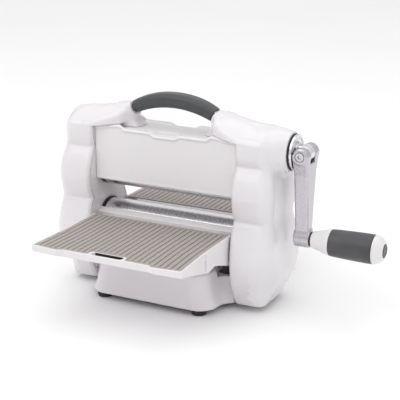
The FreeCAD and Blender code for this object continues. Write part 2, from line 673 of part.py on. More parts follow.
def gear(label, n, mod, bore, x0, width, z, gap_up, web):
    """Spur gear along X: involute flanks with backlash; a gap or a tooth points up."""
    n = int(round(n))
    rp = n * mod / 2.0
    rb = rp * math.cos(math.radians(20.0))
    ra = rp + 0.8 * mod
    rf = rp - 1.15 * mod
    inv = lambda r: math.tan(math.acos(min(1.0, rb / r))) - math.acos(min(1.0, rb / r))
    half_p = math.pi / (2 * n) - 0.14 / rp
    prof = []
    radii = [max(rb, rf) + (ra - max(rb, rf)) * k / 5.0 for k in range(6)]
    for k in range(n):
        mid = 2 * math.pi * (k + (0.5 if gap_up else 0.0)) / n + math.pi / 2.0
        left = []
        for r in radii:
            left.append((r, half_p + inv(rp) - inv(r)))
        foot = left[0][1]
        if rf < radii[0]:
            left.insert(0, (rf, foot))
        for r, a in left:
            prof.append((r, mid - a))
        for r, a in reversed(left):
            prof.append((r, mid + a))
    pts = [Vector(x0, r * math.cos(a), r * math.sin(a)) for r, a in prof]
    body = Part.Face(Part.makePolygon(pts + pts[:1])).extrude(Vector(width, 0, 0))
    body = body.cut(Part.makeCylinder(bore, width + 2, Vector(x0 - 1, 0, 0), Vector(1, 0, 0)))
    if web:
        ringcut = Part.makeCylinder(rf - 4.0, width, Vector(x0 - width + 2.4, 0, 0), Vector(1, 0, 0)).cut(
            Part.makeCylinder(bore + 4.5, width, Vector(x0 - width + 2.4, 0, 0), Vector(1, 0, 0)))
        ringcut2 = ringcut.copy()
        ringcut2.translate(Vector(2 * width - 4.8, 0, 0))
        body = body.cut(ringcut).cut(ringcut2)
    return feature(label, whole(body), Placement(Vector(0, 0, z), Rotation()))


gi, gw = d.gear_in.v, d.gear_w.v
gear("upper_sync_gear", d.sync_teeth.v, d.sync_mod.v, d.shaft_r.v, -gi - gw, gw, d.upper_z.v, False, True)
gear("lower_sync_gear", d.sync_teeth.v, d.sync_mod.v, d.shaft_r.v, -gi - gw, gw, d.lower_z.v, True, True)
drive_mod = 2.0 * (d.crank_z.v - d.upper_z.v) / (d.pinion_teeth.v + d.drive_teeth.v)
gear("drive_gear", d.drive_teeth.v, drive_mod, d.shaft_r.v, gi, gw, d.upper_z.v, True, True)
gear("crank_pinion", d.pinion_teeth.v, drive_mod, d.crank_r.v, gi - 0.5, gw + 1.0, d.crank_z.v, False, False)

# ------------------------------------------------------------------- crank
node(cyl("x", d.crank_r, 85.6, d.hub_x, 0, d.crank_z, "crank_shaft"), "crank_shaft")


def plain_bush(label, x0, x1):
    o = cut(cyl("x", d.bush_r, x0, x1, 0, d.crank_z), cyl("x", d.crank_r + d.run_fit, x0 - 1, x1 + 1, 0, d.crank_z))
    return node(o, label)


plain_bush("crank_inner_bush", fx + 0.2, 91.5)
plain_bush("crank_outer_bush", 104.0, 112.0)
node(cut(fuse(cyl("x", 18.8, 130.5, 132.8, 0, d.crank_z), cyl("x", 14.0, 126.0, 130.5, 0, d.crank_z)),
         cyl("x", 11.4, 125, 134, 0, d.crank_z)), "hub_collar")

disc = cyl("x", d.hub_r, d.hub_x, d.hub_x + 2.9, 0, d.crank_z)
boss = cyl("x", 11.0, 124.0, d.hub_x, 0, d.crank_z)
neck = box(d.hub_x, d.fold_x, -d.fork_gap + 0.4, d.fork_gap - 0.4, d.crank_z - d.fold_r, d.crank_z + d.fold_r)
tongue = cyl("y", d.fold_r, -d.fork_gap + 0.4, d.fork_gap - 0.4, d.fold_x, d.crank_z)
hub = cut(fuse(disc, boss, neck, tongue), cyl("x", d.crank_r, 120, d.hub_x, 0, d.crank_z), cyl("y", 3.0, -10, 10, d.fold_x, d.crank_z))
node(hub, "crank_hub")
screw = fuse(cyl("y", 3.0, -14.0, 16.6, d.fold_x, d.crank_z), cyl("y", 4.3, -16.6, -13.6, d.fold_x, d.crank_z))
hexa = doc.addObject("Part::Prism", "hex_socket")
hexa.Polygon = 6
hexa.Circumradius = 2.4
hexa.Height = 2.0
place(hexa, d.fold_x, -16.8, d.crank_z, ROT["y"])
node(cut(screw, hexa), "fold_screw")
nut = doc.addObject("Part::Prism", "nut_body")
nut.Polygon = 6
nut.Circumradius = 4.6
nut.Height = 3.0
place(nut, d.fold_x, 13.6, d.crank_z, ROT["y"])
node(cut(nut, cyl("y", 3.0, 12, 18, d.fold_x, d.crank_z)), "fold_nut")

# crank arm: fork ears, tapering bar, lower boss
ears = [cyl("y", d.fold_r, -d.fork_half, -d.fork_gap, d.fold_x, d.crank_z), cyl("y", d.fold_r, d.fork_gap, d.fork_half, d.fold_x, d.crank_z)]
bar = new_body("arm_bar")
sk = sketch(bar, "YZ_Plane", "bar_outline", d.fold_x - d.fold_r)
outline(sk, [(-d.fork_half, d.crank_z), (-d.fork_half, d.crank_z - 6), (-11.5, d.crank_z - 20), (-6.2, d.grip_z + 6), (-6.2, d.grip_z), (6.2, d.grip_z),
              (6.2, d.grip_z + 6), (11.5, d.crank_z - 20), (d.fork_half, d.crank_z - 6), (d.fork_half, d.crank_z)])
pad(bar, sk, 2 * d.fold_r)
low_boss = cyl("x", d.boss_r, d.fold_x - d.fold_r, d.fold_x + d.fold_r, 0, d.grip_z)
arm = cut(fuse(*ears, bar, low_boss),
          box(120, 170, -d.fork_gap, d.fork_gap, d.crank_z - d.fold_r - 1.6, d.crank_z + 20),
          cyl("y", 3.0 + d.run_fit, -20, 20, d.fold_x, d.crank_z),
          cyl("y", 4.7, -20, -13.5, d.fold_x, d.crank_z), cyl("y", 5.0, 13.5, 20, d.fold_x, d.crank_z),
          cyl("x", d.spin_r, d.fold_x - d.fold_r + 1.0, 160, 0, d.grip_z))
node(arm, "crank_arm")
ax = d.fold_x + d.fold_r
spindle = turned("grip_spindle", [(ax - 15, 0), (226.5, 0), (226.5, 5.4), (225.9, 6.0), (223.6, 6.0), (223.6, d.spin_r), (ax - 15, d.spin_r)])
place(spindle, 0, 0, d.grip_z)
node(spindle, "grip_spindle")
washer = turned("grip_washer", [(ax, d.spin_r), (ax + 1.4, d.spin_r), (ax + 1.4, 7.6), (ax, 7.6)])
place(washer, 0, 0, d.grip_z)
node(washer, "grip_washer")

# crank grip: white cone and core, dark sleeve, white dome, dark plug
rb = d.spin_r + d.run_fit
core = turned("grip_cone", [(ax + 1.7, rb), (223.2, rb), (223.2, 11.0), (174.5, 11.0), (174.5, 13.4), (173.6, 13.6), (159.0, 9.6), (156.0, 8.4), (ax + 1.7, 7.4)])
place(core, 0, 0, d.grip_z)
node(core, "grip_cone")
sleeve = turned("grip_sleeve", [(174.5, 11.0), (219.5, 11.0), (219.5, 14.9), (176.0, 13.8), (174.5, 13.4)])
place(sleeve, 0, 0, d.grip_z)
node(sleeve, "grip_sleeve")
cap = turned("grip_cap", [(219.5, 11.0), (223.2, 11.0), (223.2, 7.0), (231.2, 7.0), (231.2, 7.6), (230.4, 9.2), (228.4, 11.6), (225.4, 13.6), (222.2, 14.6), (219.5, 14.9)])
place(cap, 0, 0, d.grip_z)
node(cap, "grip_cap")
plug = turned("grip_plug", [(227.5, 0), (231.8, 0), (231.8, 6.2), (231.2, 7.0), (227.5, 7.0)])
place(plug, 0, 0, d.grip_z)
node(plug, "grip_plug")

# ------------------------------------------------------------------- trays
tw = d.tray_half
b = new_body("front_tray")
tray_low = 50.0
sk = sketch(b, "XY_Plane", "tray_plan", tray_low)
outline(sk, [(-tw, -d.tray_back), (-tw, -d.tray_corner + 5), (-tw + 4, -d.tray_corner), (-d.ramp_out, -d.tray_ramp), (-d.ramp_in, -d.tray_mid),
             (d.ramp_in, -d.tray_mid), (d.ramp_out, -d.tray_ramp), (tw - 4, -d.tray_corner), (tw, -d.tray_corner + 5), (tw, -d.tray_back)])
pad(b, sk, d.tray_top - tray_low)
# sloping underside, with the step that clears the base apron
sk = sketch(b, "YZ_Plane", "under_cut", -90.0)
outline(sk, [(-160, 40), (-30, 40), (-30, 58), (-34.0, 58), (-41.0, 51.0), (-70.0, 60.5), (-84.0, 58.3), (-91.0, 59.5), (-160, 78.0)])
pocket(b, sk, 180.0, True)
# barrel round the hinge line, which closes the gap to the sill
sk = sketch(b, "YZ_Plane", "barrel", -d.barrel_half)
circle(sk, -d.hinge_y, d.hinge_z, d.tray_top - d.hinge_z)
pad(b, sk, 2 * d.barrel_half)
# hollow between pad plate and underside, open at both ends of the barrel
sk = sketch(b, "YZ_Plane", "inside", -tw + d.tray_skin)
outline(sk, [(-30, 64.5), (-41.0, 54.0), (-70.0, 63.3), (-84.0, 61.3), (-91.0, 62.3), (-140.0, 75.3), (-140.0, 76.5), (-30, 76.5)])
pocket(b, sk, 2 * tw - 2 * d.tray_skin, True)
# recess for the ribbed pad
sk = sketch(b, "XY_Plane", "pad_recess", d.tray_top)
rim = 2.4
outline(sk, [(-tw + rim, -d.tray_back - 1.2), (-tw + rim, -d.tray_corner + 6.0), (-tw + rim + 4, -d.tray_corner + rim), (-d.ramp_out - 0.6, -d.tray_ramp + rim), (-d.ramp_in - 0.6, -d.tray_mid + rim),
             (d.ramp_in + 0.6, -d.tray_mid + rim), (d.ramp_out + 0.6, -d.tray_ramp + rim), (tw - rim - 4, -d.tray_corner + rim), (tw - rim, -d.tray_corner + 6.0), (tw - rim, -d.tray_back - 1.2)])
pocket(b, sk, 2.6)
# finger slot behind the front rim
sk = sketch(b, "XY_Plane", "finger_slot", d.tray_top)
outline(sk, [(-d.notch_half, -d.tray_mid + 2.4), (d.notch_half, -d.tray_mid + 2.4), (d.notch_half - 1.5, -d.tray_mid + 8.4), (-d.notch_half + 1.5, -d.tray_mid + 8.4)])
pocket(b, sk, 40.0)
# pivot holes
sk = sketch(b, "YZ_Plane", "pivot", -90.0)
circle(sk, -d.hinge_y, d.hinge_z, d.pin_r + d.run_fit)
pocket(b, sk, 180.0, True)
front_tray = node(b, "front_tray")
node(mirrored(front_tray, Vector(0, 1, 0)), "rear_tray")

b = new_body("front_tray_pad")
pz = d.tray_top - 2.6
sk = sketch(b, "XY_Plane", "pad_plan", pz)
g = rim + 0.1
outline(sk, [(-tw + g, -d.tray_back - 1.3), (-tw + g, -d.tray_corner + 6.0), (-tw + g + 4, -d.tray_corner + g), (-d.ramp_out - 0.6, -d.tray_ramp + g), (-d.ramp_in - 0.6, -d.tray_mid + g),
             (-d.notch_half - 4, -d.tray_mid + g), (-d.notch_half - 2, -d.tray_mid + 9.4), (d.notch_half + 2, -d.tray_mid + 9.4), (d.notch_half + 4, -d.tray_mid + g),
             (d.ramp_in + 0.6, -d.tray_mid + g), (d.ramp_out + 0.6, -d.tray_ramp + g), (tw - g - 4, -d.tray_corner + g), (tw - g, -d.tray_corner + 6.0), (tw - g, -d.tray_back - 1.3)])
pad(b, sk, d.pad_t)
sk = sketch(b, "XY_Plane", "groove_plan", pz + d.pad_t)
outline(sk, [(-70.6, -134.0), (-69.4, -134.0), (-69.4, -42.0), (-70.6, -42.0)])
groove = pocket(b, sk, 0.8)
rows = b.newObject("PartDesign::LinearPattern", "groove_row")
rows.Originals = [groove]
rows.Direction = (sk, ["H_Axis"])
rows.Length = 140.0
rows.Occurrences = 26
b.Tip = rows
doc.recompute()
front_pad = node(b, "front_tray_pad")
node(mirrored(front_pad, Vector(0, 1, 0)), "rear_tray_pad")


def hinge_pins(sign):
    pins = []
    y = -d.hinge_y if sign < 0 else d.hinge_y
    for s in (-1, 1):
        if s > 0:
            pins.append(fuse(cyl("x", d.pin_r, 76.0, 89.0, y, d.hinge_z), cyl("x", 4.0, 76.0, tw - d.tray_skin - 0.2, y, d.hinge_z)))
        else:
            pins.append(fuse(cyl("x", d.pin_r, -89.0, -76.0, y, d.hinge_z), cyl("x", 4.0, -tw + d.tray_skin + 0.2, -76.0, y, d.hinge_z)))
    return group(*pins)


node(hinge_pins(-1), "front_hinge_pins")
node(hinge_pins(1), "rear_hinge_pins")

# ---------------------------------------------------------- check and write
doc.recompute()
for o in doc.Objects:
    if "Invalid" in o.State or "Error" in o.State:
        raise RuntimeError("%s (%s) failed: %s" % (o.Name, o.Label, o.State))
labels = [o.Label for o in nodes]
if len(set(labels)) != len(labels) or len(labels) > 60:
    raise RuntimeError("node names repeat or are too many")
for o in nodes:
    if o.Shape.isNull() or not o.Shape.isValid() or not o.Shape.Solids:
        raise RuntimeError("%s has no valid solid" % o.Label)
for o in nodes:
    o.Shape.exportStep("parts/%s.step" % o.Label)
    bb = o.Shape.BoundBox
    print("%-20s %2d solid(s) %9.1f mm3  x %7.1f %7.1f  y %7.1f %7.1f  z %7.1f %7.1f" % (
        o.Label, len(o.Shape.Solids), o.Shape.Volume, bb.XMin, bb.XMax, bb.YMin, bb.YMax, bb.ZMin, bb.ZMax))
print("nodes", len(nodes))
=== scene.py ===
import bpy
import json
import math
import numpy as np
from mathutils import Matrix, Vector


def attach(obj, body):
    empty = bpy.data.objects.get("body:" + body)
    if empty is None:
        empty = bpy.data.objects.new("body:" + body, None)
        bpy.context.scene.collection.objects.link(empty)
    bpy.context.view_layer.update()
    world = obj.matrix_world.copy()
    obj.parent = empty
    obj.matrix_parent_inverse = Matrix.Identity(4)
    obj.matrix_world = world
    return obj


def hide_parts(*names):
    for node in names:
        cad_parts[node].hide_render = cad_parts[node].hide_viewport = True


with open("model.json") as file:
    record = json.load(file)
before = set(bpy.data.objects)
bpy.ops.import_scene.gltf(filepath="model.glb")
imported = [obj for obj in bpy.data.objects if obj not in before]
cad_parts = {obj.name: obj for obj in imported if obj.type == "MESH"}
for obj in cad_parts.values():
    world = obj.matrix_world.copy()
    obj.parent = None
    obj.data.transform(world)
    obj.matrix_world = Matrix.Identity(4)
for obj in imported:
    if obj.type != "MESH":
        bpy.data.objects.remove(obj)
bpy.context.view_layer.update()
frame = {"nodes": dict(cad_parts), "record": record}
scene = bpy.context.scene
MM = 0.001

# sizes in millimetres, in the shared frame
LOWER_Z, UPPER_Z, CRANK_Z = 67.5, 127.5, 165.9
HALF_SLOT = 82.0
ARC_Z = 92.0
GRIP_HALF = math.radians(24.8)
FOLD_X, GRIP_Z = 144.5, 78.0
HINGE_Y, HINGE_Z = 37.0, 69.5


# ------------------------------------------------------------------ distance field tools
def smin(a, b, k):
    t = np.maximum(k - np.abs(a - b), 0.0) / k
    return np.minimum(a, b) - t * t * k * 0.25


def smax(a, b, k):
    return -smin(-a, -b, k)


def rmax(a, b, r):
    """Both, with a rounded outer edge of radius r."""
    a, b = a + r, b + r
    return np.minimum(np.maximum(a, b), 0.0) + np.hypot(np.maximum(a, 0.0), np.maximum(b, 0.0)) - r


def step(v, a, b):
    t = np.clip((v - a) / (b - a), 0.0, 1.0)
    return t * t * (3.0 - 2.0 * t)


def gauss(sig, dz):
    n = max(1, int(4 * sig / dz))
    k = np.exp(-0.5 * (np.arange(-n, n + 1) * dz / sig) ** 2)
    return k / k.sum(), n


def softened(v, sig, dz):
    """Smoothed samples that keep their ends in place."""
    k, n = gauss(sig, dz)
    head = v[0] - (v[1] - v[0]) * np.arange(n, 0, -1)
    tail = v[-1] + (v[-1] - v[-2]) * np.arange(1, n + 1)
    return np.convolve(np.concatenate([head, v, tail]), k, "same")[n:-n]


def mesh_object(name, verts, faces, normals=None, smooth=True):
    me = bpy.data.meshes.new(name)
    verts = np.asarray(verts, float) * MM
    if isinstance(faces, np.ndarray):
        m, w = faces.shape
        me.vertices.add(len(verts))
        me.vertices.foreach_set("co", verts.astype(np.float32).ravel())
        me.loops.add(m * w)
        me.loops.foreach_set("vertex_index", faces.astype(np.int32).ravel())
        me.polygons.add(m)
        me.polygons.foreach_set("loop_start", (np.arange(m) * w).astype(np.int32))
        me.polygons.foreach_set("loop_total", np.full(m, w, np.int32))
    else:
        me.from_pydata([tuple(v) for v in verts], [], faces)
    me.update(calc_edges=True)
    me.validate()
    if smooth:
        me.polygons.foreach_set("use_smooth", np.ones(len(me.polygons), bool))
    if normals is not None and len(normals) == len(me.vertices):
        me.normals_split_custom_set_from_vertices([tuple(n) for n in normals])
    ob = bpy.data.objects.new(name, me)
    scene.collection.objects.link(ob)
    return ob


def gradient(f, v, eps=0.04):
    g = np.empty_like(v)
    for i in range(3):
        a, b = v.copy(), v.copy()
        a[:, i] += eps
        b[:, i] -= eps
        g[:, i] = (f(a[:, 0], a[:, 1], a[:, 2]) - f(b[:, 0], b[:, 1], b[:, 2])) / (2 * eps)
    return g


def field_mesh(name, f, lo, hi, h):
    """Closed surface of f = 0 as quads, drawn on to the surface, with its true normals."""
    lo, hi = np.asarray(lo, float), np.asarray(hi, float)
    n = [int(math.ceil((hi[i] - lo[i]) / h)) + 1 for i in range(3)]
    ax = [lo[i] + h * np.arange(n[i]) for i in range(3)]
    F = f(ax[0][:, None, None], ax[1][None, :, None], ax[2][None, None, :])
    F = np.ascontiguousarray(np.broadcast_to(F, n), dtype=np.float64)
    cs = np.array([m - 1 for m in n])
    total = int(cs.prod())
    acc = np.zeros((3, total))
    cnt = np.zeros(total)
    edges = []
    stride = np.array([cs[1] * cs[2], cs[2], 1])
    for d in range(3):
        a, b = [slice(None)] * 3, [slice(None)] * 3
        a[d], b[d] = slice(0, -1), slice(1, None)
        Fa, Fb = F[tuple(a)], F[tuple(b)]
        cross = (Fa < 0) != (Fb < 0)
        idx = np.argwhere(cross)
        fa, fb = Fa[cross], Fb[cross]
        p = idx.astype(float)
        p[:, d] += fa / (fa - fb)
        e, g = (d + 1) % 3, (d + 2) % 3
        quad = []
        for de, dg in ((1, 1), (0, 1), (0, 0), (1, 0)):
            c = idx.copy()
            c[:, e] -= de
            c[:, g] -= dg
            ok = (c >= 0).all(1) & (c < cs).all(1)
            fl = np.where(ok, c @ stride, -1)
            for i in range(3):
                acc[i] += np.bincount(fl[ok], weights=p[ok, i], minlength=total)
            cnt += np.bincount(fl[ok], minlength=total)
            quad.append(fl)
        quad = np.stack(quad, 1)
        flip = fa >= 0
        quad[flip] = quad[flip][:, ::-1]
        edges.append(quad[(quad >= 0).all(1)])
    used = np.nonzero(cnt)[0]
    number = np.full(total, -1)
    number[used] = np.arange(len(used))
    v = (acc[:, used] / cnt[used]).T * h + lo
    faces = number[np.concatenate(edges)]

    def draw(v, times):
        for _ in range(times):
            val = f(v[:, 0], v[:, 1], v[:, 2])
            g = gradient(f, v)
            g2 = np.maximum((g * g).sum(1), 0.04)
            v = v - g * np.clip(val / g2, -0.7 * h, 0.7 * h)[:, None]
        return v

    v = draw(v, 3)
    pairs = np.concatenate([faces[:, [0, 1]], faces[:, [1, 2]], faces[:, [2, 3]], faces[:, [3, 0]]])
    pairs = np.concatenate([pairs, pairs[:, ::-1]])
    deg = np.bincount(pairs[:, 0], minlength=len(v)).astype(float)
    for _ in range(2):
        avg = np.stack([np.bincount(pairs[:, 0], weights=v[pairs[:, 1], i], minlength=len(v)) for i in range(3)], 1) / deg[:, None]
        g = gradient(f, v)
        g /= np.maximum(np.linalg.norm(g, axis=1), 1e-9)[:, None]
        mv = avg - v
        mv -= g * (mv * g).sum(1)[:, None]
        v = draw(v + 0.5 * mv, 1)
    v = draw(v, 1)
    g = gradient(f, v, 0.12)
    g /= np.maximum(np.linalg.norm(g, axis=1), 1e-9)[:, None]
    return mesh_object(name, v, faces, g)


# ------------------------------------------------------------------- turned pieces
def filleted(pts, r, n=4, closed=True):
    """Corners of an outline rounded by r, or by their own third value."""
    out = []
    m = len(pts)
    for i, p in enumerate(pts):
        rad = p[2] if len(p) > 2 else r
        if rad <= 0 or (not closed and i in (0, m - 1)):
            out.append((p[0], p[1]))
            continue
        a, b, c = np.array(pts[i - 1][:2], float), np.array(p[:2], float), np.array(pts[(i + 1) % m][:2], float)
        u, w = a - b, c - b
        lu, lw = np.linalg.norm(u), np.linalg.norm(w)
        u, w = u / lu, w / lw
        ang = math.acos(float(np.clip(u @ w, -1, 1)))
        if ang > math.pi - 0.05:
            out.append((p[0], p[1]))
            continue
        cut = min(rad / math.tan(ang / 2), 0.45 * lu, 0.45 * lw)
        s, e = b + u * cut, b + w * cut
        for k in range(n + 1):
            t = k / n
            q = (1 - t) ** 2 * s + 2 * t * (1 - t) * b + t * t * e
            out.append((float(q[0]), float(q[1])))
    return out


def turned_data(prof, axis, c1, c2, seg, start=0):
    """Ring or solid of revolution; prof holds (along, radius)."""
    solid = prof[0][1] < 1e-6 and prof[-1][1] < 1e-6
    area = sum(prof[i - 1][0] * prof[i][1] - prof[i][0] * prof[i - 1][1] for i in range(len(prof)))
    if area < 0:
        prof = prof[::-1]
    ang = np.linspace(0, 2 * math.pi, seg, endpoint=False)
    verts, faces, rows = [], [], []
    for a, r in prof:
        if r < 1e-6:
            rows.append([start + len(verts)])
            verts.append((a, 0.0, 0.0))
        else:
            rows.append(list(range(start + len(verts), start + len(verts) + seg)))
            verts += [(a, r * math.cos(t), r * math.sin(t)) for t in ang]
    m = len(rows)
    for i in range(m - 1 if solid else m):
        A, B = rows[i], rows[(i + 1) % m]
        for k in range(seg):
            k2 = (k + 1) % seg
            if len(A) == 1 and len(B) == 1:
                continue
            if len(A) == 1:
                faces.append((A[0], B[k2], B[k]))
            elif len(B) == 1:
                faces.append((A[k], A[k2], B[0]))
            else:
                faces.append((A[k], A[k2], B[k2], B[k]))
    verts = np.array(verts)
    if axis == "x":
        verts = np.stack([verts[:, 0], verts[:, 1] + c1, verts[:, 2] + c2], 1)
    elif axis == "z":
        verts = np.stack([verts[:, 1] + c1, verts[:, 2] + c2, verts[:, 0]], 1)
    else:
        verts = np.stack([verts[:, 2] + c1, verts[:, 0], verts[:, 1] + c2], 1)
    return verts, faces


def turned(name, parts, seg=96, sharp=35.0):
    V, Fc = [], []
    count = 0
    for prof, axis, c1, c2 in parts:
        v, f = turned_data(prof, axis, c1, c2, seg, count)
        V.append(v)
        Fc += f
        count += len(v)
    ob = mesh_object(name, np.concatenate(V), Fc)
    ob.data.set_sharp_from_angle(angle=math.radians(sharp))
    return ob


# ----------------------------------------------------------------------- materials
def new_material(name):
    m = bpy.data.materials.new(name)
    m.use_nodes = True
    nt = m.node_tree
    nt.nodes.clear()
    out = nt.nodes.new("ShaderNodeOutputMaterial")
    b = nt.nodes.new("ShaderNodeBsdfPrincipled")
    nt.links.new(b.outputs["BSDF"], out.inputs["Surface"])
    return m, nt, b


def coords(nt, stretch=None):
    tc = nt.nodes.new("ShaderNodeTexCoord")
    if stretch is None:
        return tc.outputs["Object"]
    mp = nt.nodes.new("ShaderNodeMapping")
    mp.inputs["Scale"].default_value = stretch
    nt.links.new(tc.outputs["Object"], mp.inputs["Vector"])
    return mp.outputs["Vector"]


def noise(nt, vec, scale, detail=2.0, rough=0.5):
    n = nt.nodes.new("ShaderNodeTexNoise")
    n.inputs["Scale"].default_value = scale
    n.inputs["Detail"].default_value = detail
    n.inputs["Roughness"].default_value = rough
    nt.links.new(vec, n.inputs["Vector"])
    return n.outputs["Fac"]


def spread(nt, fac, lo, hi):
    r = nt.nodes.new("ShaderNodeMapRange")
    r.inputs["From Min"].default_value = 0.3
    r.inputs["From Max"].default_value = 0.7
    r.inputs["To Min"].default_value = lo
    r.inputs["To Max"].default_value = hi
    nt.links.new(fac, r.inputs["Value"])
    return r.outputs["Result"]


def tones(nt, fac, lo, hi):
    r = nt.nodes.new("ShaderNodeValToRGB")
    r.color_ramp.elements[0].position = 0.32
    r.color_ramp.elements[1].position = 0.68
    r.color_ramp.elements[0].color = (*lo, 1.0)
    r.color_ramp.elements[1].color = (*hi, 1.0)
    nt.links.new(fac, r.inputs["Fac"])
    return r.outputs["Color"]


def bump(nt, b, fac, strength, distance, before=None):
    n = nt.nodes.new("ShaderNodeBump")
    n.inputs["Strength"].default_value = strength
    n.inputs["Distance"].default_value = distance
    nt.links.new(fac, n.inputs["Height"])
    if before is not None:
        nt.links.new(before, n.inputs["Normal"])
    nt.links.new(n.outputs["Normal"], b.inputs["Normal"])
    return n.outputs["Normal"]


def shade(col, k):
    return tuple(min(1.0, c * k) for c in col)


def plastic(name, col, rough, grain=0.05, spec=0.5, coat=0.0):
    m, nt, b = new_material(name)
    v = coords(nt)
    nt.links.new(tones(nt, noise(nt, v, 26.0, 3.0), shade(col, 0.99), shade(col, 1.008)), b.inputs["Base Color"])
    nt.links.new(spread(nt, noise(nt, v, 140.0, 3.0), rough - 0.02, rough + 0.03), b.inputs["Roughness"])
    b.inputs["Specular IOR Level"].default_value = spec
    b.inputs["Coat Weight"].default_value = coat
    b.inputs["Coat Roughness"].default_value = 0.12
    first = bump(nt, b, noise(nt, v, 60.0, 1.0), 0.03, 0.0004)
    bump(nt, b, noise(nt, v, 2400.0, 2.0), grain, 0.00012, first)
    return m


def rubber(name, col, rough, grain=0.35):
    m, nt, b = new_material(name)
    v = coords(nt)
    nt.links.new(tones(nt, noise(nt, v, 45.0, 5.0), shade(col, 0.88), shade(col, 1.12)), b.inputs["Base Color"])
    nt.links.new(spread(nt, noise(nt, v, 160.0, 4.0), rough - 0.06, rough + 0.07), b.inputs["Roughness"])
    b.inputs["Specular IOR Level"].default_value = 0.4
    b.inputs["Sheen Weight"].default_value = 0.03
    b.inputs["Sheen Roughness"].default_value = 0.4
    bump(nt, b, noise(nt, v, 2600.0, 3.0, 0.7), grain, 0.0002)
    return m


def steel(name, col, rough, stretch, scale, grain=0.25, var=0.06):
    m, nt, b = new_material(name)
    v = coords(nt, stretch)
    fine = noise(nt, v, scale, 4.0, 0.65)
    nt.links.new(tones(nt, fine, shade(col, 1.0 - var), shade(col, 1.0 + var)), b.inputs["Base Color"])
    nt.links.new(spread(nt, fine, rough - 0.03, rough + 0.04), b.inputs["Roughness"])
    b.inputs["Metallic"].default_value = 1.0
    bump(nt, b, fine, grain, 0.00006)
    return m


WHITE = (0.765, 0.745, 0.762)
M = {
    "shell": plastic("moulded_gloss_white", WHITE, 0.15, 0.03, 0.5, 0.25),
    "panel": plastic("moulded_satin_white", (0.80, 0.782, 0.79), 0.34, 0.07),
    "base": plastic("moulded_base_white", (0.765, 0.735, 0.76), 0.24, 0.03, 0.5, 0.15),
    "tray": plastic("moulded_tray_white", (0.765, 0.748, 0.758), 0.24, 0.03, 0.5, 0.15),
    "pad": plastic("ribbed_mat_grey", (0.385, 0.352, 0.335), 0.58, 0.30, 0.35),
    # groove floors of the mat: darker grey, painted shade
    "groove": plastic("groove_floor_painted_shade", (0.15, 0.135, 0.13), 0.7, 0.30, 0.25),
    # finger slot walls: near black, painted shade
    "inside": plastic("slot_walls_painted_shade", (0.035, 0.028, 0.027), 0.6, 0.1, 0.2),
    "grip": rubber("handle_soft_grey", (0.062, 0.066, 0.067), 0.34),
    "foot": rubber("foot_black", (0.022, 0.021, 0.022), 0.55),
    "black": plastic("black_nylon", (0.02, 0.02, 0.021), 0.4, 0.15, 0.4),
    "roller": steel("ground_steel", (0.87, 0.865, 0.88), 0.28, (1.0, 0.03, 0.03), 1500.0, 0.015, 0.02),
    # upper roller: a darker copy of the ground steel, painted shade
    "roller_painted_shade": steel("ground_steel_painted_shade", (0.42, 0.415, 0.425), 0.24, (1.0, 0.03, 0.03), 1500.0, 0.03, 0.025),
    "plate": steel("zinc_plate", (0.55, 0.55, 0.57), 0.38, (1.0, 1.0, 0.06), 500.0),
    "gear": steel("machined_steel", (0.45, 0.45, 0.46), 0.34, (1.0, 1.0, 1.0), 700.0),
    "crank": steel("satin_cast_metal", (0.56, 0.54, 0.57), 0.27, (1.0, 1.0, 0.12), 700.0, 0.008, 0.015),
    "hub": steel("polished_hub_metal", (0.78, 0.775, 0.785), 0.16, (1.0, 1.0, 1.0), 600.0, 0.008, 0.015),
    "screw": steel("plated_screw", (0.6, 0.6, 0.62), 0.25, (1.0, 1.0, 1.0), 900.0),
    "gripwhite": plastic("grip_gloss_white", (0.765, 0.755, 0.76), 0.22, 0.04, 0.5, 0.2),
    "sleeve": rubber("sleeve_soft_grey", (0.070, 0.070, 0.076), 0.40, 0.28),
    "plug": plastic("plug_grey", (0.085, 0.085, 0.09), 0.4, 0.12),
}
SLOT_MATERIAL = {
    "shell_white": "shell", "panel_white": "panel", "base_white": "base", "tray_white": "tray", "pad_grey": "pad", "grip_rubber": "grip",
    "foot_rubber": "foot", "bush_black": "black", "roller_steel": "roller", "frame_steel": "plate", "gear_steel": "gear",
    "crank_metal": "crank", "screw_steel": "screw", "grip_white": "gripwhite", "sleeve_grey": "sleeve",
}


def finish_piece(ob, node, body, mat):
    ob.data.materials.append(M[mat])
    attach(ob, body)
    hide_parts(node)


# ------------------------------------------------------------------- side casings
LOWER = [(6, 29, 113.8), (8, 30.4, 114.4), (12, 32.8, 115.2), (17, 35.6, 117.4), (22, 37.8, 119.9), (30, 41, 123.2), (40, 43.8, 125.6), (52, 45, 126.5),
         (64, 45, 126.5), (76, 43.2, 125.2), (86, 40, 123), (93, 37, 121.3), (97, 34.5, 119.6)]
MIDDLE = [(97, 34.5, 119.6), (101, 37, 120.8), (107, 39.2, 121.8), (115, 40.8, 122.4), (122, 41.2, 122.5),
          (130, 40.2, 122.1), (138, 37.5, 121), (145, 34, 119.6), (150, 31, 118.3), (152.5, 29.5, 117.5)]
UPPER = [(152.5, 29.5, 117.5), (156, 31, 118.3), (162, 32, 119.2), (170, 32, 120.2), (175, 31.6, 120.6), (178, 29.8, 120.6),
         (181, 26.6, 120.3), (184, 22.4, 119.8), (186.5, 18, 118.8), (188.5, 13, 117.0), (189.7, 8.5, 114.5), (190.4, 4.5, 111.5)]


def lobe_profile(col, inner, crease):
    zs, vs = [], []
    for t in (LOWER, MIDDLE, UPPER):
        t = np.array(t, float)
        z = np.arange(t[0, 0], t[-1, 0] + 1e-6, 0.25)
        v = softened(np.interp(z, t[:, 0], t[:, col]), inner, 0.25)
        first = 1 if zs else 0
        zs.append(z[first:])
        vs.append(v[first:])
    z, v = np.concatenate(zs), np.concatenate(vs)
    return z, softened(v, crease, 0.25)


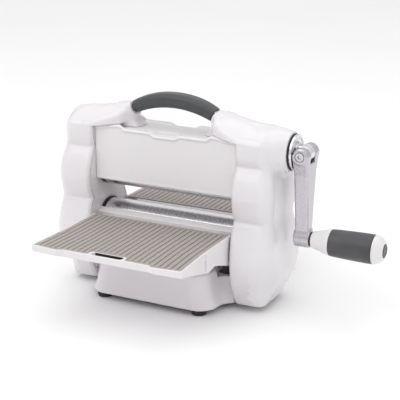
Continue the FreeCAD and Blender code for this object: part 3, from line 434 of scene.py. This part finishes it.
PZ, PY = lobe_profile(1, 2.0, 0.7)
_, PX = lobe_profile(2, 2.0, 0.7)
PX = np.where(PZ < 165.0, softened(PX, 5.0, 0.25), PX)
PS = softened(PY, 9.0, 0.25)
PX = PX + np.interp(PZ, [72, 90, 104, 140, 152], [0, 1.2, 1.3, 1.0, 0])
RF = softened(np.interp(PZ, [6, 12, 17, 22, 28, 40, 52, 64, 150, 190], [8, 13, 21, 29, 33, 27, 19, 15, 12.5, 12.5]), 4.0, 0.25)
RR = softened(np.interp(PZ, [6, 30, 64, 150, 190], [8, 11, 15, 12.5, 12.5]), 4.0, 0.25)


def lobes(x, y, z, inset, xi):
    xo = np.interp(z, PZ, PX) - inset
    # the creases fade out round the outer corners
    fade = step(x, xo - 13.0, xo - 1.5)
    yf = np.interp(z, PZ, PY) * (1.0 - fade) + np.interp(z, PZ, PS) * fade - inset
    rf = np.minimum(np.interp(z, PZ, RF) - inset, yf * 0.88)
    rr = np.minimum(np.interp(z, PZ, RR) - inset, yf * 0.88)
    cx, hx = (xi + xo) / 2, (xo - xi) / 2
    r = np.where(x > cx, np.where(y < 0, rf, rr), 4.6)
    qx, qy = np.abs(x - cx) - hx + r, np.abs(y) - yf + r
    return np.minimum(np.maximum(qx, qy), 0) + np.hypot(np.maximum(qx, 0), np.maximum(qy, 0)) - r


def arc_bar(x, y, z, r0, r1, half, rad):
    r = np.hypot(x, z - ARC_Z)
    return rmax(np.abs(r - (r0 + r1) / 2) - (r1 - r0) / 2, np.abs(y) - half, rad), r, np.arctan2(x, z - ARC_Z)


SHX = np.arange(40.0, 112.01, 0.5)
SHZ = softened(np.interp(SHX, [46, 50, 56, 62, 70, 80, 86, 92, 100, 108], [197.6, 197.2, 196.5, 195.8, 194.7, 192.8, 191.6, 190.6, 188.0, 183.0]), 2.5, 0.5)


def casing(side):
    def f(x, y, z):
        x = x * side
        body = lobes(x, y, z, 0.0, HALF_SLOT)
        body = rmax(body, z - 190.4, 2.0)
        # slope up to the end of the handle
        w = np.interp(x, [46, 50, 54, 60, 66, 76, 82, 92, 100, 108], [15, 19.5, 22.6, 25.5, 27.8, 30.4, 31.4, 31.2, 27.0, 20.0])
        zt = np.interp(x, SHX, SHZ)
        zb = np.interp(x, [50, 56, 66, 76, 84.4, 92, 100], [177.4, 178.2, 176.7, 175.3, 174.6, 174.6, 174.6])
        drop = 0.0135 * y * y
        sh = rmax((z - (zt - drop)) * 0.85, np.abs(y) - w, 4.0)
        sh = rmax(sh, zb - z, 1.6)
        sh = rmax(np.maximum(sh, x - 106.0), 49.5 - x, 6.0)
        body = smin(body, sh, 2.5)
        # post that flares out into the valley
        t = np.clip((z - 174.0) / 15.0, 0.0, 1.0)
        inner = 44.6 - 8.4 * (1.0 - t) ** 2.2
        half = 10.0 + 3.0 * (1.0 - t) ** 2.2
        post = rmax(np.maximum(inner - x, x - 64.0), np.abs(y) - half, 8.0)
        post = np.maximum(post, np.maximum(174.05 - z, z - np.minimum(zt - 3.0, 195.0)))
        body = smin(body, post, 9.0)
        bar, r, ang = arc_bar(x, y, z, 105.0, 116.6, 9.3, 5.6)
        bar = np.maximum(bar, np.maximum((GRIP_HALF - ang) * r, (ang - math.radians(35.0)) * r))
        body = smin(body, bar, 5.0)
        body = np.maximum(body, 174.05 - z - 400.0 * (x > 82.0))
        if side > 0:
            rad = np.hypot(y, z - CRANK_Z)
            boss = rmax(rad - np.interp(x, [104, 108, 112, 116, 122, 131.4], [13.0, 17.0, 20.0, 21.6, 22.0, 20.2]), x - 131.4, 1.4)
            boss = np.maximum(boss, 104.0 - x)
            body = smin(body, boss, 10.0)
        # room for the grip and its core
        zone = np.maximum((ang - GRIP_HALF) * r, 104.85 - r)
        core = np.maximum(np.maximum(np.abs(r - 112.7) - 3.72, np.abs(y) - 6.02), (ang - math.radians(27.6)) * r)
        body = np.maximum(body, -np.minimum(zone, core))
        # hollow, open towards the slot, and the pocket of the base wing
        hol = lobes(x, y, z, 3.0 + np.maximum(2.0 * step(z, 160.0, 180.0), 2.3 - 2.3 * step(x, 84.5, 88.5)), 70.0)
        hol = np.maximum(hol, np.maximum(z - 181.0, 17.4 - z))
        hol = np.maximum(hol, np.where(z > 174.0, 86.0 - x, -1.0))
        poc = np.maximum(np.maximum(lobes(x, y, z, 3.0, 70.0), z - 14.0), np.where(np.abs(y) > 24.5, 85.5 - x, -1.0))
        body = np.maximum(body, -np.minimum(hol, poc))
        body = smax(body, 6.0 - z, 1.6)
        if side > 0:
            bore = np.maximum(rad - np.interp(x, [105, 127], [18.8, 17.3]), x - 127.0)
            bore = np.minimum(np.maximum(bore, 104.0 - x), np.maximum(rad - 14.2, 100.0 - x))
            body = np.maximum(body, -bore)
        return body
    return f


shell_r = field_mesh("right_casing", casing(1), (33.0, -48.0, 3.0), (134.0, 48.0, 210.0), 1.35)
finish_piece(shell_r, "right_shell", "chassis", "shell")
shell_l = field_mesh("left_casing", casing(-1), (-130.0, -48.0, 3.0), (-33.0, 48.0, 210.0), 1.35)
finish_piece(shell_l, "left_shell", "chassis", "shell")


def cheek(side):
    """Inner wall of the slot, flush with the rounded edge of its casing."""
    def f(x, y, z):
        x = x * side
        body = np.maximum(lobes(x, y, z, 0.0, HALF_SLOT), lobes(x, y, z, 5.2, 70.0))
        body = np.maximum(np.maximum(body, x - 84.4), np.maximum(17.5 - z, z - 173.9))
        holes = np.minimum(np.hypot(y, z - LOWER_Z), np.hypot(y, z - UPPER_Z)) - 10.05
        holes = np.minimum(holes, np.hypot(np.abs(y) - HINGE_Y, z - HINGE_Z) - 2.55)
        return np.maximum(body, -holes)
    return f


cheek_r = field_mesh("right_slot_wall", cheek(1), (80.5, -48.0, 15.5), (86.0, 48.0, 176.0), 1.0)
finish_piece(cheek_r, "right_cheek", "chassis", "shell")
cheek_l = field_mesh("left_slot_wall", cheek(-1), (-86.0, -48.0, 15.5), (-80.5, 48.0, 176.0), 1.0)
finish_piece(cheek_l, "left_cheek", "chassis", "shell")


# ------------------------------------------------------------------ carrying handle
def grip_field(x, y, z):
    r = np.hypot(x, z - ARC_Z)
    ang = np.abs(np.arctan2(x, z - ARC_Z))
    t = np.clip(ang / GRIP_HALF, 0, 1)
    ro = 120.35 - 2.4 * t ** 3
    bar = rmax(np.abs(r - (105.0 + ro) / 2) - (ro - 105.0) / 2, np.abs(y) - 9.95 + 0.5 * t ** 3, 6.6)
    f = rmax(bar, (ang - GRIP_HALF + 0.0012) * r, 3.0)
    core = np.maximum(np.abs(r - 112.7) - 3.68, np.abs(y) - 5.98)
    return np.maximum(f, -core)


grip = field_mesh("soft_handle_grip", grip_field, (-56.0, -13.0, 182.0), (56.0, 13.0, 217.0), 0.85)
finish_piece(grip, "handle_grip", "chassis", "grip")

# ------------------------------------------------------------- panels over the slot
CONT = np.array([(-90, 173.1), (-52.9, 178.3), (-46.7, 174.2), (-16.5, 174.2), (-12.0, 171.2), (12.0, 171.2), (16.5, 174.2), (46.7, 174.2), (52.9, 178.3), (90, 173.1)])
CX = np.arange(-90, 90.01, 0.25)
CZ = softened(np.interp(CX, CONT[:, 0], CONT[:, 1]), 1.0, 0.25)
CC = 1.0 / np.sqrt(1.0 + softened(np.gradient(CZ, CX), 0.5, 0.25) ** 2)


def panel(sign):
    def f(x, y, z):
        y = y * -sign if sign > 0 else y
        zt = np.interp(x, CX, CZ)
        c = np.interp(x, CX, CC)
        top = (z - zt) * c
        edge = 0.7 * step(np.abs(x), 74.0, 78.5)
        slab = np.abs(y + 23.2 + edge * 0.5) - 1.2 - edge * 0.5
        body = rmax(slab, np.maximum(top, 117.8 - z), 0.8)
        bead = np.hypot(top + 1.5, y + 24.3) - 1.45
        body = smin(body, bead, 1.4)
        # rolled lip of the lower edge
        ay, az, by, bz = -23.3, 118.4, -20.6, 116.7
        t = np.clip(((y - ay) * (by - ay) + (z - az) * (bz - az)) / ((by - ay) ** 2 + (bz - az) ** 2), 0, 1)
        lip = np.hypot(y - ay - t * (by - ay), z - az - t * (bz - az)) - 0.85
        body = smin(body, lip, 1.6)
        return rmax(body, np.abs(x) - 81.9, 0.6)
    return f


front_panel = field_mesh("front_panel_moulding", panel(-1), (-84.0, -27.5, 111.0), (84.0, -16.0, 181.0), 0.95)
finish_piece(front_panel, "front_panel", "chassis", "panel")
rear_panel = field_mesh("rear_panel_moulding", panel(1), (-84.0, 16.0, 111.0), (84.0, 27.5, 181.0), 0.95)
finish_piece(rear_panel, "rear_panel", "chassis", "panel")


def bridge(x, y, z):
    dip = 2.6 * step(-np.abs(x), -18.0, -12.0) * step(np.abs(y), 7.0, 19.0)
    mid = 172.75 - dip
    plate = rmax(np.abs(z - mid) * np.where(dip > 0.05, 0.93, 1.0) - 1.25, np.maximum(np.abs(x) - 81.9, np.abs(y) - 21.9), 0.5)
    loop = rmax(np.abs(x) - 13.0, np.abs(np.abs(y) - 16.6) - 4.2, 3.8)
    return smin(plate, np.hypot(loop, z - mid - 1.2) - 0.9, 0.8)


valley = field_mesh("valley_floor", bridge, (-84.0, -24.0, 164.5), (84.0, 24.0, 176.0), 0.8)
finish_piece(valley, "top_bridge", "chassis", "panel")


def sill(sign):
    """Upright strip with a lip that rises to the lower roller."""
    def f(x, y, z):
        y = y * sign
        wall = rmax(np.abs(y - 23.4) - 1.1, np.maximum(47.0 - z, z - 80.9), 0.4)
        ay, az, by, bz = 23.2, 80.45, 16.9, 82.6
        t = np.clip(((y - ay) * (by - ay) + (z - az) * (bz - az)) / ((by - ay) ** 2 + (bz - az) ** 2), 0, 1)
        lip = np.hypot(y - ay - t * (by - ay), z - az - t * (bz - az)) - 0.9
        return rmax(smin(wall, lip, 1.0), np.abs(x) - 81.95, 0.3)
    return f


front_sill = field_mesh("front_sill_strip", sill(-1), (-84.0, -26.0, 45.0), (84.0, -14.0, 85.5), 0.8)
finish_piece(front_sill, "front_sill", "chassis", "panel")
rear_sill = field_mesh("rear_sill_strip", sill(1), (-84.0, 14.0, 45.0), (84.0, 26.0, 85.5), 0.8)
finish_piece(rear_sill, "rear_sill", "chassis", "panel")


# ---------------------------------------------------------------------------- base
def base_field(x, y, z):
    lean = np.interp(z, [6, 10, 16, 26, 47], [2.0, 1.1, 0.2, -0.9, -2.6])
    ax, ay = np.abs(x), np.abs(y)
    wide = np.interp(z, [6, 10, 16, 26, 47], [7.0, 5.6, 3.2, 0.4, -2.6])
    block = rmax(ax - 65.0 - wide, ay - 65.0 - 0.8 * lean, 20.0)
    waist = rmax(ax - 84.0, ay - np.interp(z, [6, 18, 32, 47], [28.5, 26.5, 25.0, 25.0]), 1.0)
    plan = smin(block, waist, 20.0)
    plan = np.maximum(plan, ax - 81.9)
    outer = rmax(plan, z - np.interp(ay, [26, 33], [47.0, 42.5]), 3.0)
    outer = rmax(outer, 6.0 - z, 1.4)
    hollow = np.minimum(np.maximum(np.maximum(plan + 3.0, 25.0 - ay), z - 38.5), np.maximum(np.maximum(plan + 3.0, ay - 21.0), z - 35.0))
    trough = np.maximum(ay - 22.1, 38.0 - z)
    body = np.maximum(outer, -np.minimum(hollow, trough))
    # low rim beside the casings, under the inner ends of the trays
    body = np.maximum(body, -np.maximum(np.maximum(61.0 - ax, ay - 34.0), 34.0 - z))
    wing = rmax(np.maximum(ax - 109.5, 78.0 - ax), ay - 24.0, 8.0)
    wing = np.maximum(wing, np.maximum(6.4 - z, z - 13.8))
    body = np.minimum(body, wing)
    post = np.maximum(np.hypot(ax - 55.5, ay - 56.0) - 5.0, np.maximum(6.0 - z, z - 21.0))
    body = np.minimum(body, post)
    holes = np.minimum(np.hypot(ax - 55.5, ay - 56.0) - 2.05, np.hypot(ax - 96.0, ay - 12.0) - 2.05)
    holes = np.minimum(holes, np.maximum(np.hypot(ax - 96.0, ay - 12.0) - 4.2, z - 9.3))
    return np.maximum(body, -np.maximum(holes, z - 18.0))


base = field_mesh("base_moulding", base_field, (-112.0, -70.0, 4.0), (112.0, 70.0, 49.0), 1.5)
finish_piece(base, "base_pan", "chassis", "base")

foot_parts = []
for sx in (-1, 1):
    for sy in (-1, 1):
        prof = filleted([(0.0, 4.2, 0.4), (0.0, 7.2, 0.7), (4.0, 8.0, 0.5), (6.0, 8.0, 0.5), (6.0, 2.1, 0), (3.0, 2.1, 0), (3.0, 4.2, 0)], 0.4)
        foot_parts.append((prof, "z", sx * 55.5, sy * 56.0))
feet = turned("black_feet", foot_parts, 48)
finish_piece(feet, "rubber_feet", "chassis", "foot")

# --------------------------------------------------------------------------- trays
TF = np.array([(-90, 147.0), (-80.7, 147.3), (-76.7, 147.6), (-52.9, 149.8), (-46.7, 146.2), (46.7, 146.2), (52.9, 149.8), (76.7, 147.6), (80.7, 147.3), (90, 147.0)])
TX = np.arange(-90, 90.01, 0.25)
TY = softened(np.interp(TX, TF[:, 0], TF[:, 1]), 0.9, 0.25)
UND = np.array([(30, 62), (34.0, 58), (41.0, 51.0), (70.0, 60.5), (84.0, 58.3), (91.0, 59.5), (150, 75.4), (160, 78.0)])
UY = np.arange(20, 160.01, 0.25)
UZ = softened(np.interp(UY, UND[:, 0], UND[:, 1]), 0.8, 0.25)


FLARE_Y, FLARE_X = [98.0, 148.0], [0.0, 2.9]


def tray(sign):
    def f(x, y, z):
        y = y * sign
        fr = np.interp(x, TX, TY)
        zu = np.interp(y, UY, UZ)
        ax = np.abs(x) - np.interp(y, FLARE_Y, FLARE_X)
        plan = rmax(rmax(ax - 80.7, y - fr, 3.0), 34.0 - y, 1.2)
        body = rmax(plan, z - 81.5, 1.0)
        body = rmax(body, (zu - z) * 0.95, 1.3)
        barrel = rmax(np.hypot(y - HINGE_Y, z - HINGE_Z) - 12.0, ax - 66.0, 0.6)
        body = np.minimum(body, barrel)
        # recess of the ribbed mat
        rec = np.maximum(np.maximum(ax - 78.3, y - (fr - 2.4)), np.maximum(33.0 - y, 78.9 - z))
        # finger slot with a rolled frame
        slot = rmax(ax - 15.0 + 0.25 * (y - 137.8), np.abs(y - 140.4) - 3.3, 1.6)
        cave = np.maximum(np.maximum(ax - 40.0, np.abs(y - 124.0) - 18.5), np.maximum(z - 76.6, zu + 2.2 - z))
        rim = np.maximum(rmax(ax - 18.2, np.abs(y - 140.9) - 5.2, 2.5), z - 81.6)
        body = np.maximum(body, -np.maximum(rec, -rim))
        body = np.maximum(smax(body, -slot, 1.0), -cave)
        # dimple and slot of the side stay
        dot = np.hypot(y - 91.7, z - 77.4) - 1.1
        stay = rmax(np.abs(y - 92.3) - 1.3, np.abs(z - 68.0) - 5.4, 1.2)
        ring = np.abs(stay) - 0.35
        body = np.maximum(body, -np.maximum(np.minimum(dot, ring), 80.0 - ax))
        pin = np.maximum(np.hypot(y - HINGE_Y, z - HINGE_Z) - 2.6, 62.0 - ax)
        return np.maximum(body, -pin)
    return f


front_tray = field_mesh("front_tray_moulding", tray(-1), (-86.0, -152.0, 48.0), (86.0, -22.0, 84.0), 1.0)
finish_piece(front_tray, "front_tray", "front_tray_body", "tray")
rear_tray = field_mesh("rear_tray_moulding", tray(1), (-86.0, 22.0, 48.0), (86.0, 152.0, 84.0), 1.0)
finish_piece(rear_tray, "rear_tray", "rear_tray_body", "tray")


def shadow_slot(ob):
    """Walls of the finger slot get a near-black material: painted shade."""
    ob.data.materials.append(M["inside"])
    c = np.empty(len(ob.data.polygons) * 3)
    ob.data.polygons.foreach_get("center", c)
    c = c.reshape(-1, 3) / MM
    y = np.abs(c[:, 1])
    # faces in the slot and the cave under it take the dark material: painted shade
    hit = (np.abs(c[:, 0]) < 40.5) & (y > 105.0) & (y < 144.2) & (c[:, 2] < 77.5) & (c[:, 2] > np.interp(y, UY, UZ) + 1.8)
    hit |= (np.abs(c[:, 0]) < 15.6) & (y > 136.6) & (y < 144.2) & (c[:, 2] < 81.0)
    ob.data.polygons.foreach_set("material_index", hit.astype(np.int32))


shadow_slot(front_tray)
shadow_slot(rear_tray)


def ribbed_mat(name, sign):
    """Mat with straight grooves across it and a plain margin."""
    lo, hi = 78.9, 81.1
    xs = [(-78.2, 0), (-77.8, 0)]
    for i in range(26):
        c = -73.5 + 147.0 * i / 25.0
        xs += [(c - 2.0, 0), (c - 0.7, 0), (c - 0.48, 1), (c + 0.48, 1), (c + 0.7, 0), (c + 2.0, 0)]
    for e in (17.0, 19.3, 46.0, 47.4, 50.0, 53.4, 76.0):
        xs += [(e + 0.013, 0), (-e - 0.013, 0)]
    xs += [(77.8, 0), (78.2, 0)]
    xs.sort()
    X = np.array([a for a, _ in xs])
    deep = np.array([b for _, b in xs])
    # a plain line inside a groove goes down with it
    for i in range(1, len(X) - 1):
        for k in range(26):
            c = -73.5 + 147.0 * k / 25.0
            if abs(X[i] - c) < 0.47:
                deep[i] = 1
    fr = np.minimum(np.interp(X, TX, TY) - 2.6, 147.6)
    fr = np.where(np.abs(X) < 18.2, 134.8, fr)
    fr = np.where(np.abs(X) > 76.5, np.minimum(fr, 144.4), fr)
    rows = [(34.2, 0, -0.35), (34.55, 0, 0), (37.4, 0, 0), (37.8, 1, 0), (70.0, 1, 0), (100.0, 1, 0), (3.4, 1, 0), (3.0, 0, 0), (0.35, 0, 0), (0.0, 0, -0.35)]
    top = []
    for yv, g, dz in rows:
        yy = fr - yv if yv < 20.0 else np.full(len(X), yv)
        zz = np.full(len(X), hi + dz) - (1.0 * deep if g else 0.0)
        zz[0] -= 0.35 if dz == 0 else 0
        zz[-1] -= 0.35 if dz == 0 else 0
        top.append(np.stack([X * (1.0 + np.interp(yy, FLARE_Y, FLARE_X) / 80.7), yy * sign, zz], 1))
    n, m = len(X), len(rows)
    V = np.concatenate(top)
    bot = V.copy()
    bot[:, 2] = lo
    V = np.concatenate([V, bot])
    F, dark = [], []
    for r in range(m - 1):
        for c in range(n - 1):
            q = (r * n + c, r * n + c + 1, (r + 1) * n + c + 1, (r + 1) * n + c)
            F.append(q)
            # groove floors take the darker material: painted shade
            dark.append(1 if (deep[c] and deep[c + 1] and 3 <= r <= 5) else 0)
            F.append(tuple(n * m + i for i in reversed(q)))
            dark.append(0)
    for c in range(n - 1):
        F.append((c + 1, c, n * m + c, n * m + c + 1))
        b = (m - 1) * n
        F.append((b + c, b + c + 1, n * m + b + c + 1, n * m + b + c))
        dark += [0, 0]
    for r in range(m - 1):
        a, b = r * n, (r + 1) * n
        F.append((a, b, n * m + b, n * m + a))
        a, b = a + n - 1, b + n - 1
        F.append((b, a, n * m + a, n * m + b))
        dark += [0, 0]
    if sign < 0:
        F = [tuple(reversed(q)) for q in F]
    ob = mesh_object(name, V, F, smooth=False)
    ob.data.materials.append(M["pad"])
    ob.data.materials.append(M["groove"])
    if len(ob.data.polygons) == len(dark):
        ob.data.polygons.foreach_set("material_index", np.array(dark, np.int32))
    return ob


for name, sign, node, body in (("front_ribbed_mat", -1, "front_tray_pad", "front_tray_body"), ("rear_ribbed_mat", 1, "rear_tray_pad", "rear_tray_body")):
    ob = ribbed_mat(name, sign)
    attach(ob, body)
    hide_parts(node)

# -------------------------------------------------------------- rollers and bushes
for name, z, node, body in (("upper_pressure_roller", UPPER_Z, "upper_roller", "upper_roller_body"), ("lower_pressure_roller", LOWER_Z, "lower_roller", "lower_roller_body")):
    e = 77.6 if z == UPPER_Z else 79.2
    prof = filleted([(-e, 17.0, 0.2), (e, 17.0, 0.2), (e, 21.0, 0.9), (60.0, 21.0, 0), (20.0, 21.0, 0), (-20.0, 21.0, 0), (-60.0, 21.0, 0), (-e, 21.0, 0.9)], 0.5)
    ob = turned(name, [(prof, "x", 0.0, z)], 128)
    # the upper roller takes the darker steel copy: painted shade
    finish_piece(ob, node, body, "roller_painted_shade" if z == UPPER_Z else "roller")

for node, s, z, fl in (("lower_left_bush", -1, LOWER_Z, 22.5), ("lower_right_bush", 1, LOWER_Z, 22.5), ("upper_left_bush", -1, UPPER_Z, 21.2), ("upper_right_bush", 1, UPPER_Z, 21.2)):
    lip = [(77.9, fl, 0.9), (77.9, 17.4, 0), (79.5, 17.4, 0)] if z == UPPER_Z else [(79.5, fl, 0.9)]
    prof = [(79.5, 7.05, 0.3), (89.8, 7.05, 0.3), (89.8, 10.0, 0.6), (82.0, 10.0, 0.1), (82.0, fl, 0.4)] + lip
    prof += [(79.5, 12.0, 0), (80.1, 11.6, 0), (80.1, 9.4, 0), (79.5, 9.0, 0)]
    prof = filleted([(s * p[0], p[1], p[2]) for p in prof], 0.4)
    ob = turned(node + "_moulding", [(prof, "x", 0.0, z)], 96)
    finish_piece(ob, node, "chassis", "black")

prof = filleted([(126.0, 11.4, 0.3), (132.8, 11.4, 0.4), (132.8, 18.6, 0.5), (131.5, 18.6, 0.3), (131.5, 14.0, 0.2), (126.0, 14.0, 0.5)], 0.4)
collar = turned("hub_ring", [(prof, "x", 0.0, CRANK_Z)], 128)
finish_piece(collar, "hub_collar", "chassis", "black")


# --------------------------------------------------------------------------- crank
def hub_field(x, y, z):
    rad = np.hypot(y, z - CRANK_Z)
    disc = rmax(rad - 18.0, np.abs(x - 134.55) - 1.45, 0.9)
    disc = np.maximum(disc, -np.maximum(np.abs(rad - 14.4) - 0.5, 135.7 - x))
    boss = rmax(rad - 11.0, np.maximum(124.0 - x, x - 134.0), 0.6)
    neck = rmax(np.abs(y) - 5.6, np.abs(z - CRANK_Z) - 8.0, 1.2)
    neck = np.maximum(neck, np.maximum(133.2 - x, x - FOLD_X))
    tongue = rmax(np.hypot(x - FOLD_X, z - CRANK_Z) - 8.0, np.abs(y) - 5.6, 1.2)
    f = smin(np.minimum(disc, boss), np.minimum(neck, tongue), 1.2)
    f = np.maximum(f, -np.maximum(rad - 6.5, x - 133.1))
    return np.maximum(f, -(np.hypot(x - FOLD_X, z - CRANK_Z) - 3.05))


hub = field_mesh("crank_hub_casting", hub_field, (122.5, -19.5, 146.4), (154.0, 19.5, 185.4), 0.65)
finish_piece(hub, "crank_hub", "crank", "hub")


def arm_field(x, y, z):
    w = np.interp(z, [70, 84, 100, 146, 160, 170], [6.2, 6.2, 7.5, 11.5, 16.3, 16.5])
    hx = np.interp(z, [70, 90, 150, 170], [7.4, 7.0, 7.6, 8.0])
    dx = np.abs(x - FOLD_X)
    bar = rmax(np.abs(y) - w, dx - hx, 1.9)
    bar = np.maximum(bar, np.maximum(z - CRANK_Z, GRIP_Z - z))
    ears = rmax(np.hypot(x - FOLD_X, z - CRANK_Z) - 8.0, np.abs(y) - 16.5, 2.0)
    boss = rmax(np.hypot(y, z - GRIP_Z) - 9.0, dx - 8.0, 1.5)
    f = smin(smin(bar, ears, 2.5), boss, 4.0)
    gap = rmax(np.abs(y) - 6.0, 157.3 - z, 0.0001)
    f = smax(f, -gap, 0.8)
    rad = np.hypot(x - FOLD_X, z - CRANK_Z)
    f = np.maximum(f, -(rad - 3.1))
    f = smax(f, -np.maximum(rad - 4.8, y + 13.5), 0.4)
    f = smax(f, -np.maximum(rad - 5.1, 13.5 - y), 0.4)
    return np.maximum(f, -np.maximum(np.hypot(y, z - GRIP_Z) - 4.05, 137.5 - x))


arm = field_mesh("crank_arm_casting", arm_field, (134.5, -18.5, 67.0), (154.5, 18.5, 176.0), 0.75)
finish_piece(arm, "crank_arm", "arm", "crank")

prof = filleted([(152.5, 4.0, 0.1), (153.9, 4.0, 0.1), (153.9, 7.6, 0.4), (152.5, 7.6, 0.4)], 0.3)
washer = turned("black_washer", [(prof, "x", 0.0, GRIP_Z)], 64)
finish_piece(washer, "grip_washer", "arm", "black")

cone = [(154.2, 4.05, 0), (223.2, 4.05, 0), (223.2, 11.0, 0), (174.5, 11.0, 0), (174.5, 13.35, 0.4), (173.4, 13.6, 0.5), (168.0, 11.9, 3.0), (162.0, 10.3, 3.0), (157.5, 9.2, 2.0), (155.2, 8.5, 0.8), (154.2, 7.4, 0.5)]
cone = turned("crank_grip_cone", [(filleted(cone, 0.4, 5), "x", 0.0, GRIP_Z)], 96)
finish_piece(cone, "grip_cone", "grip", "gripwhite")

sl = [(174.7, 11.0, 0), (219.3, 11.0, 0), (219.3, 14.7, 0.7), (212.0, 14.85, 2.0), (196.0, 14.5, 4.0), (181.0, 13.95, 3.0), (174.7, 13.5, 0.6)]
sleeve = turned("crank_grip_sleeve", [(filleted(sl, 0.5, 5), "x", 0.0, GRIP_Z)], 112)
finish_piece(sleeve, "grip_sleeve", "grip", "sleeve")

cp = [(219.6, 11.0, 0), (223.2, 11.0, 0), (223.2, 7.0, 0), (229.4, 7.0, 0.2), (229.6, 7.6, 0.3), (228.9, 9.3, 1.0), (227.0, 11.6, 2.0), (224.5, 13.4, 2.0), (221.9, 14.5, 1.5), (219.6, 14.85, 0.4)]
cap = turned("crank_grip_cap", [(filleted(cp, 0.4, 5), "x", 0.0, GRIP_Z)], 112, 50.0)
finish_piece(cap, "grip_cap", "grip", "gripwhite")

pl = [(226.5, 0.0), (226.5, 6.9), (229.4, 6.9), (229.9, 6.7), (230.2, 6.1), (230.2, 4.2), (229.9, 3.9), (229.9, 0.0)]
plug = turned("crank_grip_plug", [(pl, "x", 0.0, GRIP_Z)], 64)
finish_piece(plug, "grip_plug", "grip", "plug")

# ------------------------------------------- pieces that keep their construction shape
slot_of = {s["node"]: s["material_slot"] for s in frame["record"]["subparts"]}
for name, ob in frame["nodes"].items():
    if ob.hide_render:
        continue
    mat = M[SLOT_MATERIAL[slot_of[name]]]
    if ob.material_slots:
        for s in ob.material_slots:
            s.material = mat
    else:
        ob.data.materials.append(mat)
    if name in ("fold_screw", "fold_nut"):
        bv = ob.modifiers.new("soft_edges", "BEVEL")
        bv.width = 0.0004
        bv.segments = 3
        bv.limit_method = "ANGLE"
        bv.angle_limit = math.radians(35)
        bv.harden_normals = True

# ------------------------------------------------------------------ floor, light, camera
floor_me = bpy.data.meshes.new("pale_floor")
ring, fv, ff = 64, [(0, 0, 0)], []
for rad in (0.5, 2.0, 9.0):
    fv += [(rad * math.cos(2 * math.pi * k / ring), rad * math.sin(2 * math.pi * k / ring), 0.0) for k in range(ring)]
for k in range(ring):
    k2 = (k + 1) % ring
    ff.append((0, 1 + k, 1 + k2))
    for j in range(2):
        a = 1 + j * ring
        ff.append((a + k, a + ring + k, a + ring + k2, a + k2))
floor_me.from_pydata(fv, [], ff)
floor = bpy.data.objects.new("pale_floor", floor_me)
scene.collection.objects.link(floor)
m, nt, b = new_material("pale_floor_paint")
v = coords(nt)
nt.links.new(tones(nt, noise(nt, v, 3.0, 2.0), (0.955, 0.955, 0.955), (0.97, 0.97, 0.97)), b.inputs["Base Color"])
b.inputs["Roughness"].default_value = 0.9
b.inputs["Specular IOR Level"].default_value = 0.1
floor_me.materials.append(m)

world = bpy.data.worlds.new("studio")
scene.world = world
world.use_nodes = True
nt = world.node_tree
nt.nodes.clear()
wo = nt.nodes.new("ShaderNodeOutputWorld")
bg = nt.nodes.new("ShaderNodeBackground")
tc = nt.nodes.new("ShaderNodeTexCoord")
sep = nt.nodes.new("ShaderNodeSeparateXYZ")
ramp = nt.nodes.new("ShaderNodeValToRGB")
ramp.color_ramp.elements[0].position = 0.0
ramp.color_ramp.elements[0].color = (0.72, 0.70, 0.72, 1)
ramp.color_ramp.elements[1].position = 0.8
ramp.color_ramp.elements[1].color = (1.0, 1.0, 1.0, 1)
nt.links.new(tc.outputs["Generated"], sep.inputs[0])
nt.links.new(sep.outputs["Z"], ramp.inputs["Fac"])
nt.links.new(ramp.outputs["Color"], bg.inputs["Color"])
bg.inputs["Strength"].default_value = 0.95
nt.links.new(bg.outputs[0], wo.inputs[0])


def softbox(name, loc, aim, size, power, col=(1, 1, 1)):
    li = bpy.data.lights.new(name, "AREA")
    li.shape = "RECTANGLE"
    li.size, li.size_y = size
    li.energy = power
    li.color = col
    ob = bpy.data.objects.new(name, li)
    ob.location = loc
    ob.rotation_euler = (Vector(aim) - Vector(loc)).to_track_quat("-Z", "Y").to_euler()
    scene.collection.objects.link(ob)
    return ob


softbox("key_softbox", (-0.5, -0.9, 1.35), (0, 0, 0.1), (1.1, 1.1), 5.0)
softbox("top_softbox", (0.1, 0.2, 1.6), (0, 0, 0.1), (1.6, 1.2), 4.5)
softbox("side_softbox", (1.5, -0.1, 0.8), (0.1, 0, 0.1), (0.9, 0.9), 1.2)

cam_data = bpy.data.cameras.new("camera")
cam_data.sensor_width = 36.0
cam_data.lens = 103.45
cam = bpy.data.objects.new("camera", cam_data)
cam.location = (0.5411, -1.0182, 0.4660)
cam.rotation_euler = (Vector((0.0283, 0.0, 0.1013)) - Vector(cam.location)).to_track_quat("-Z", "Y").to_euler()
scene.collection.objects.link(cam)
scene.camera = cam
scene.view_settings.view_transform = "Standard"
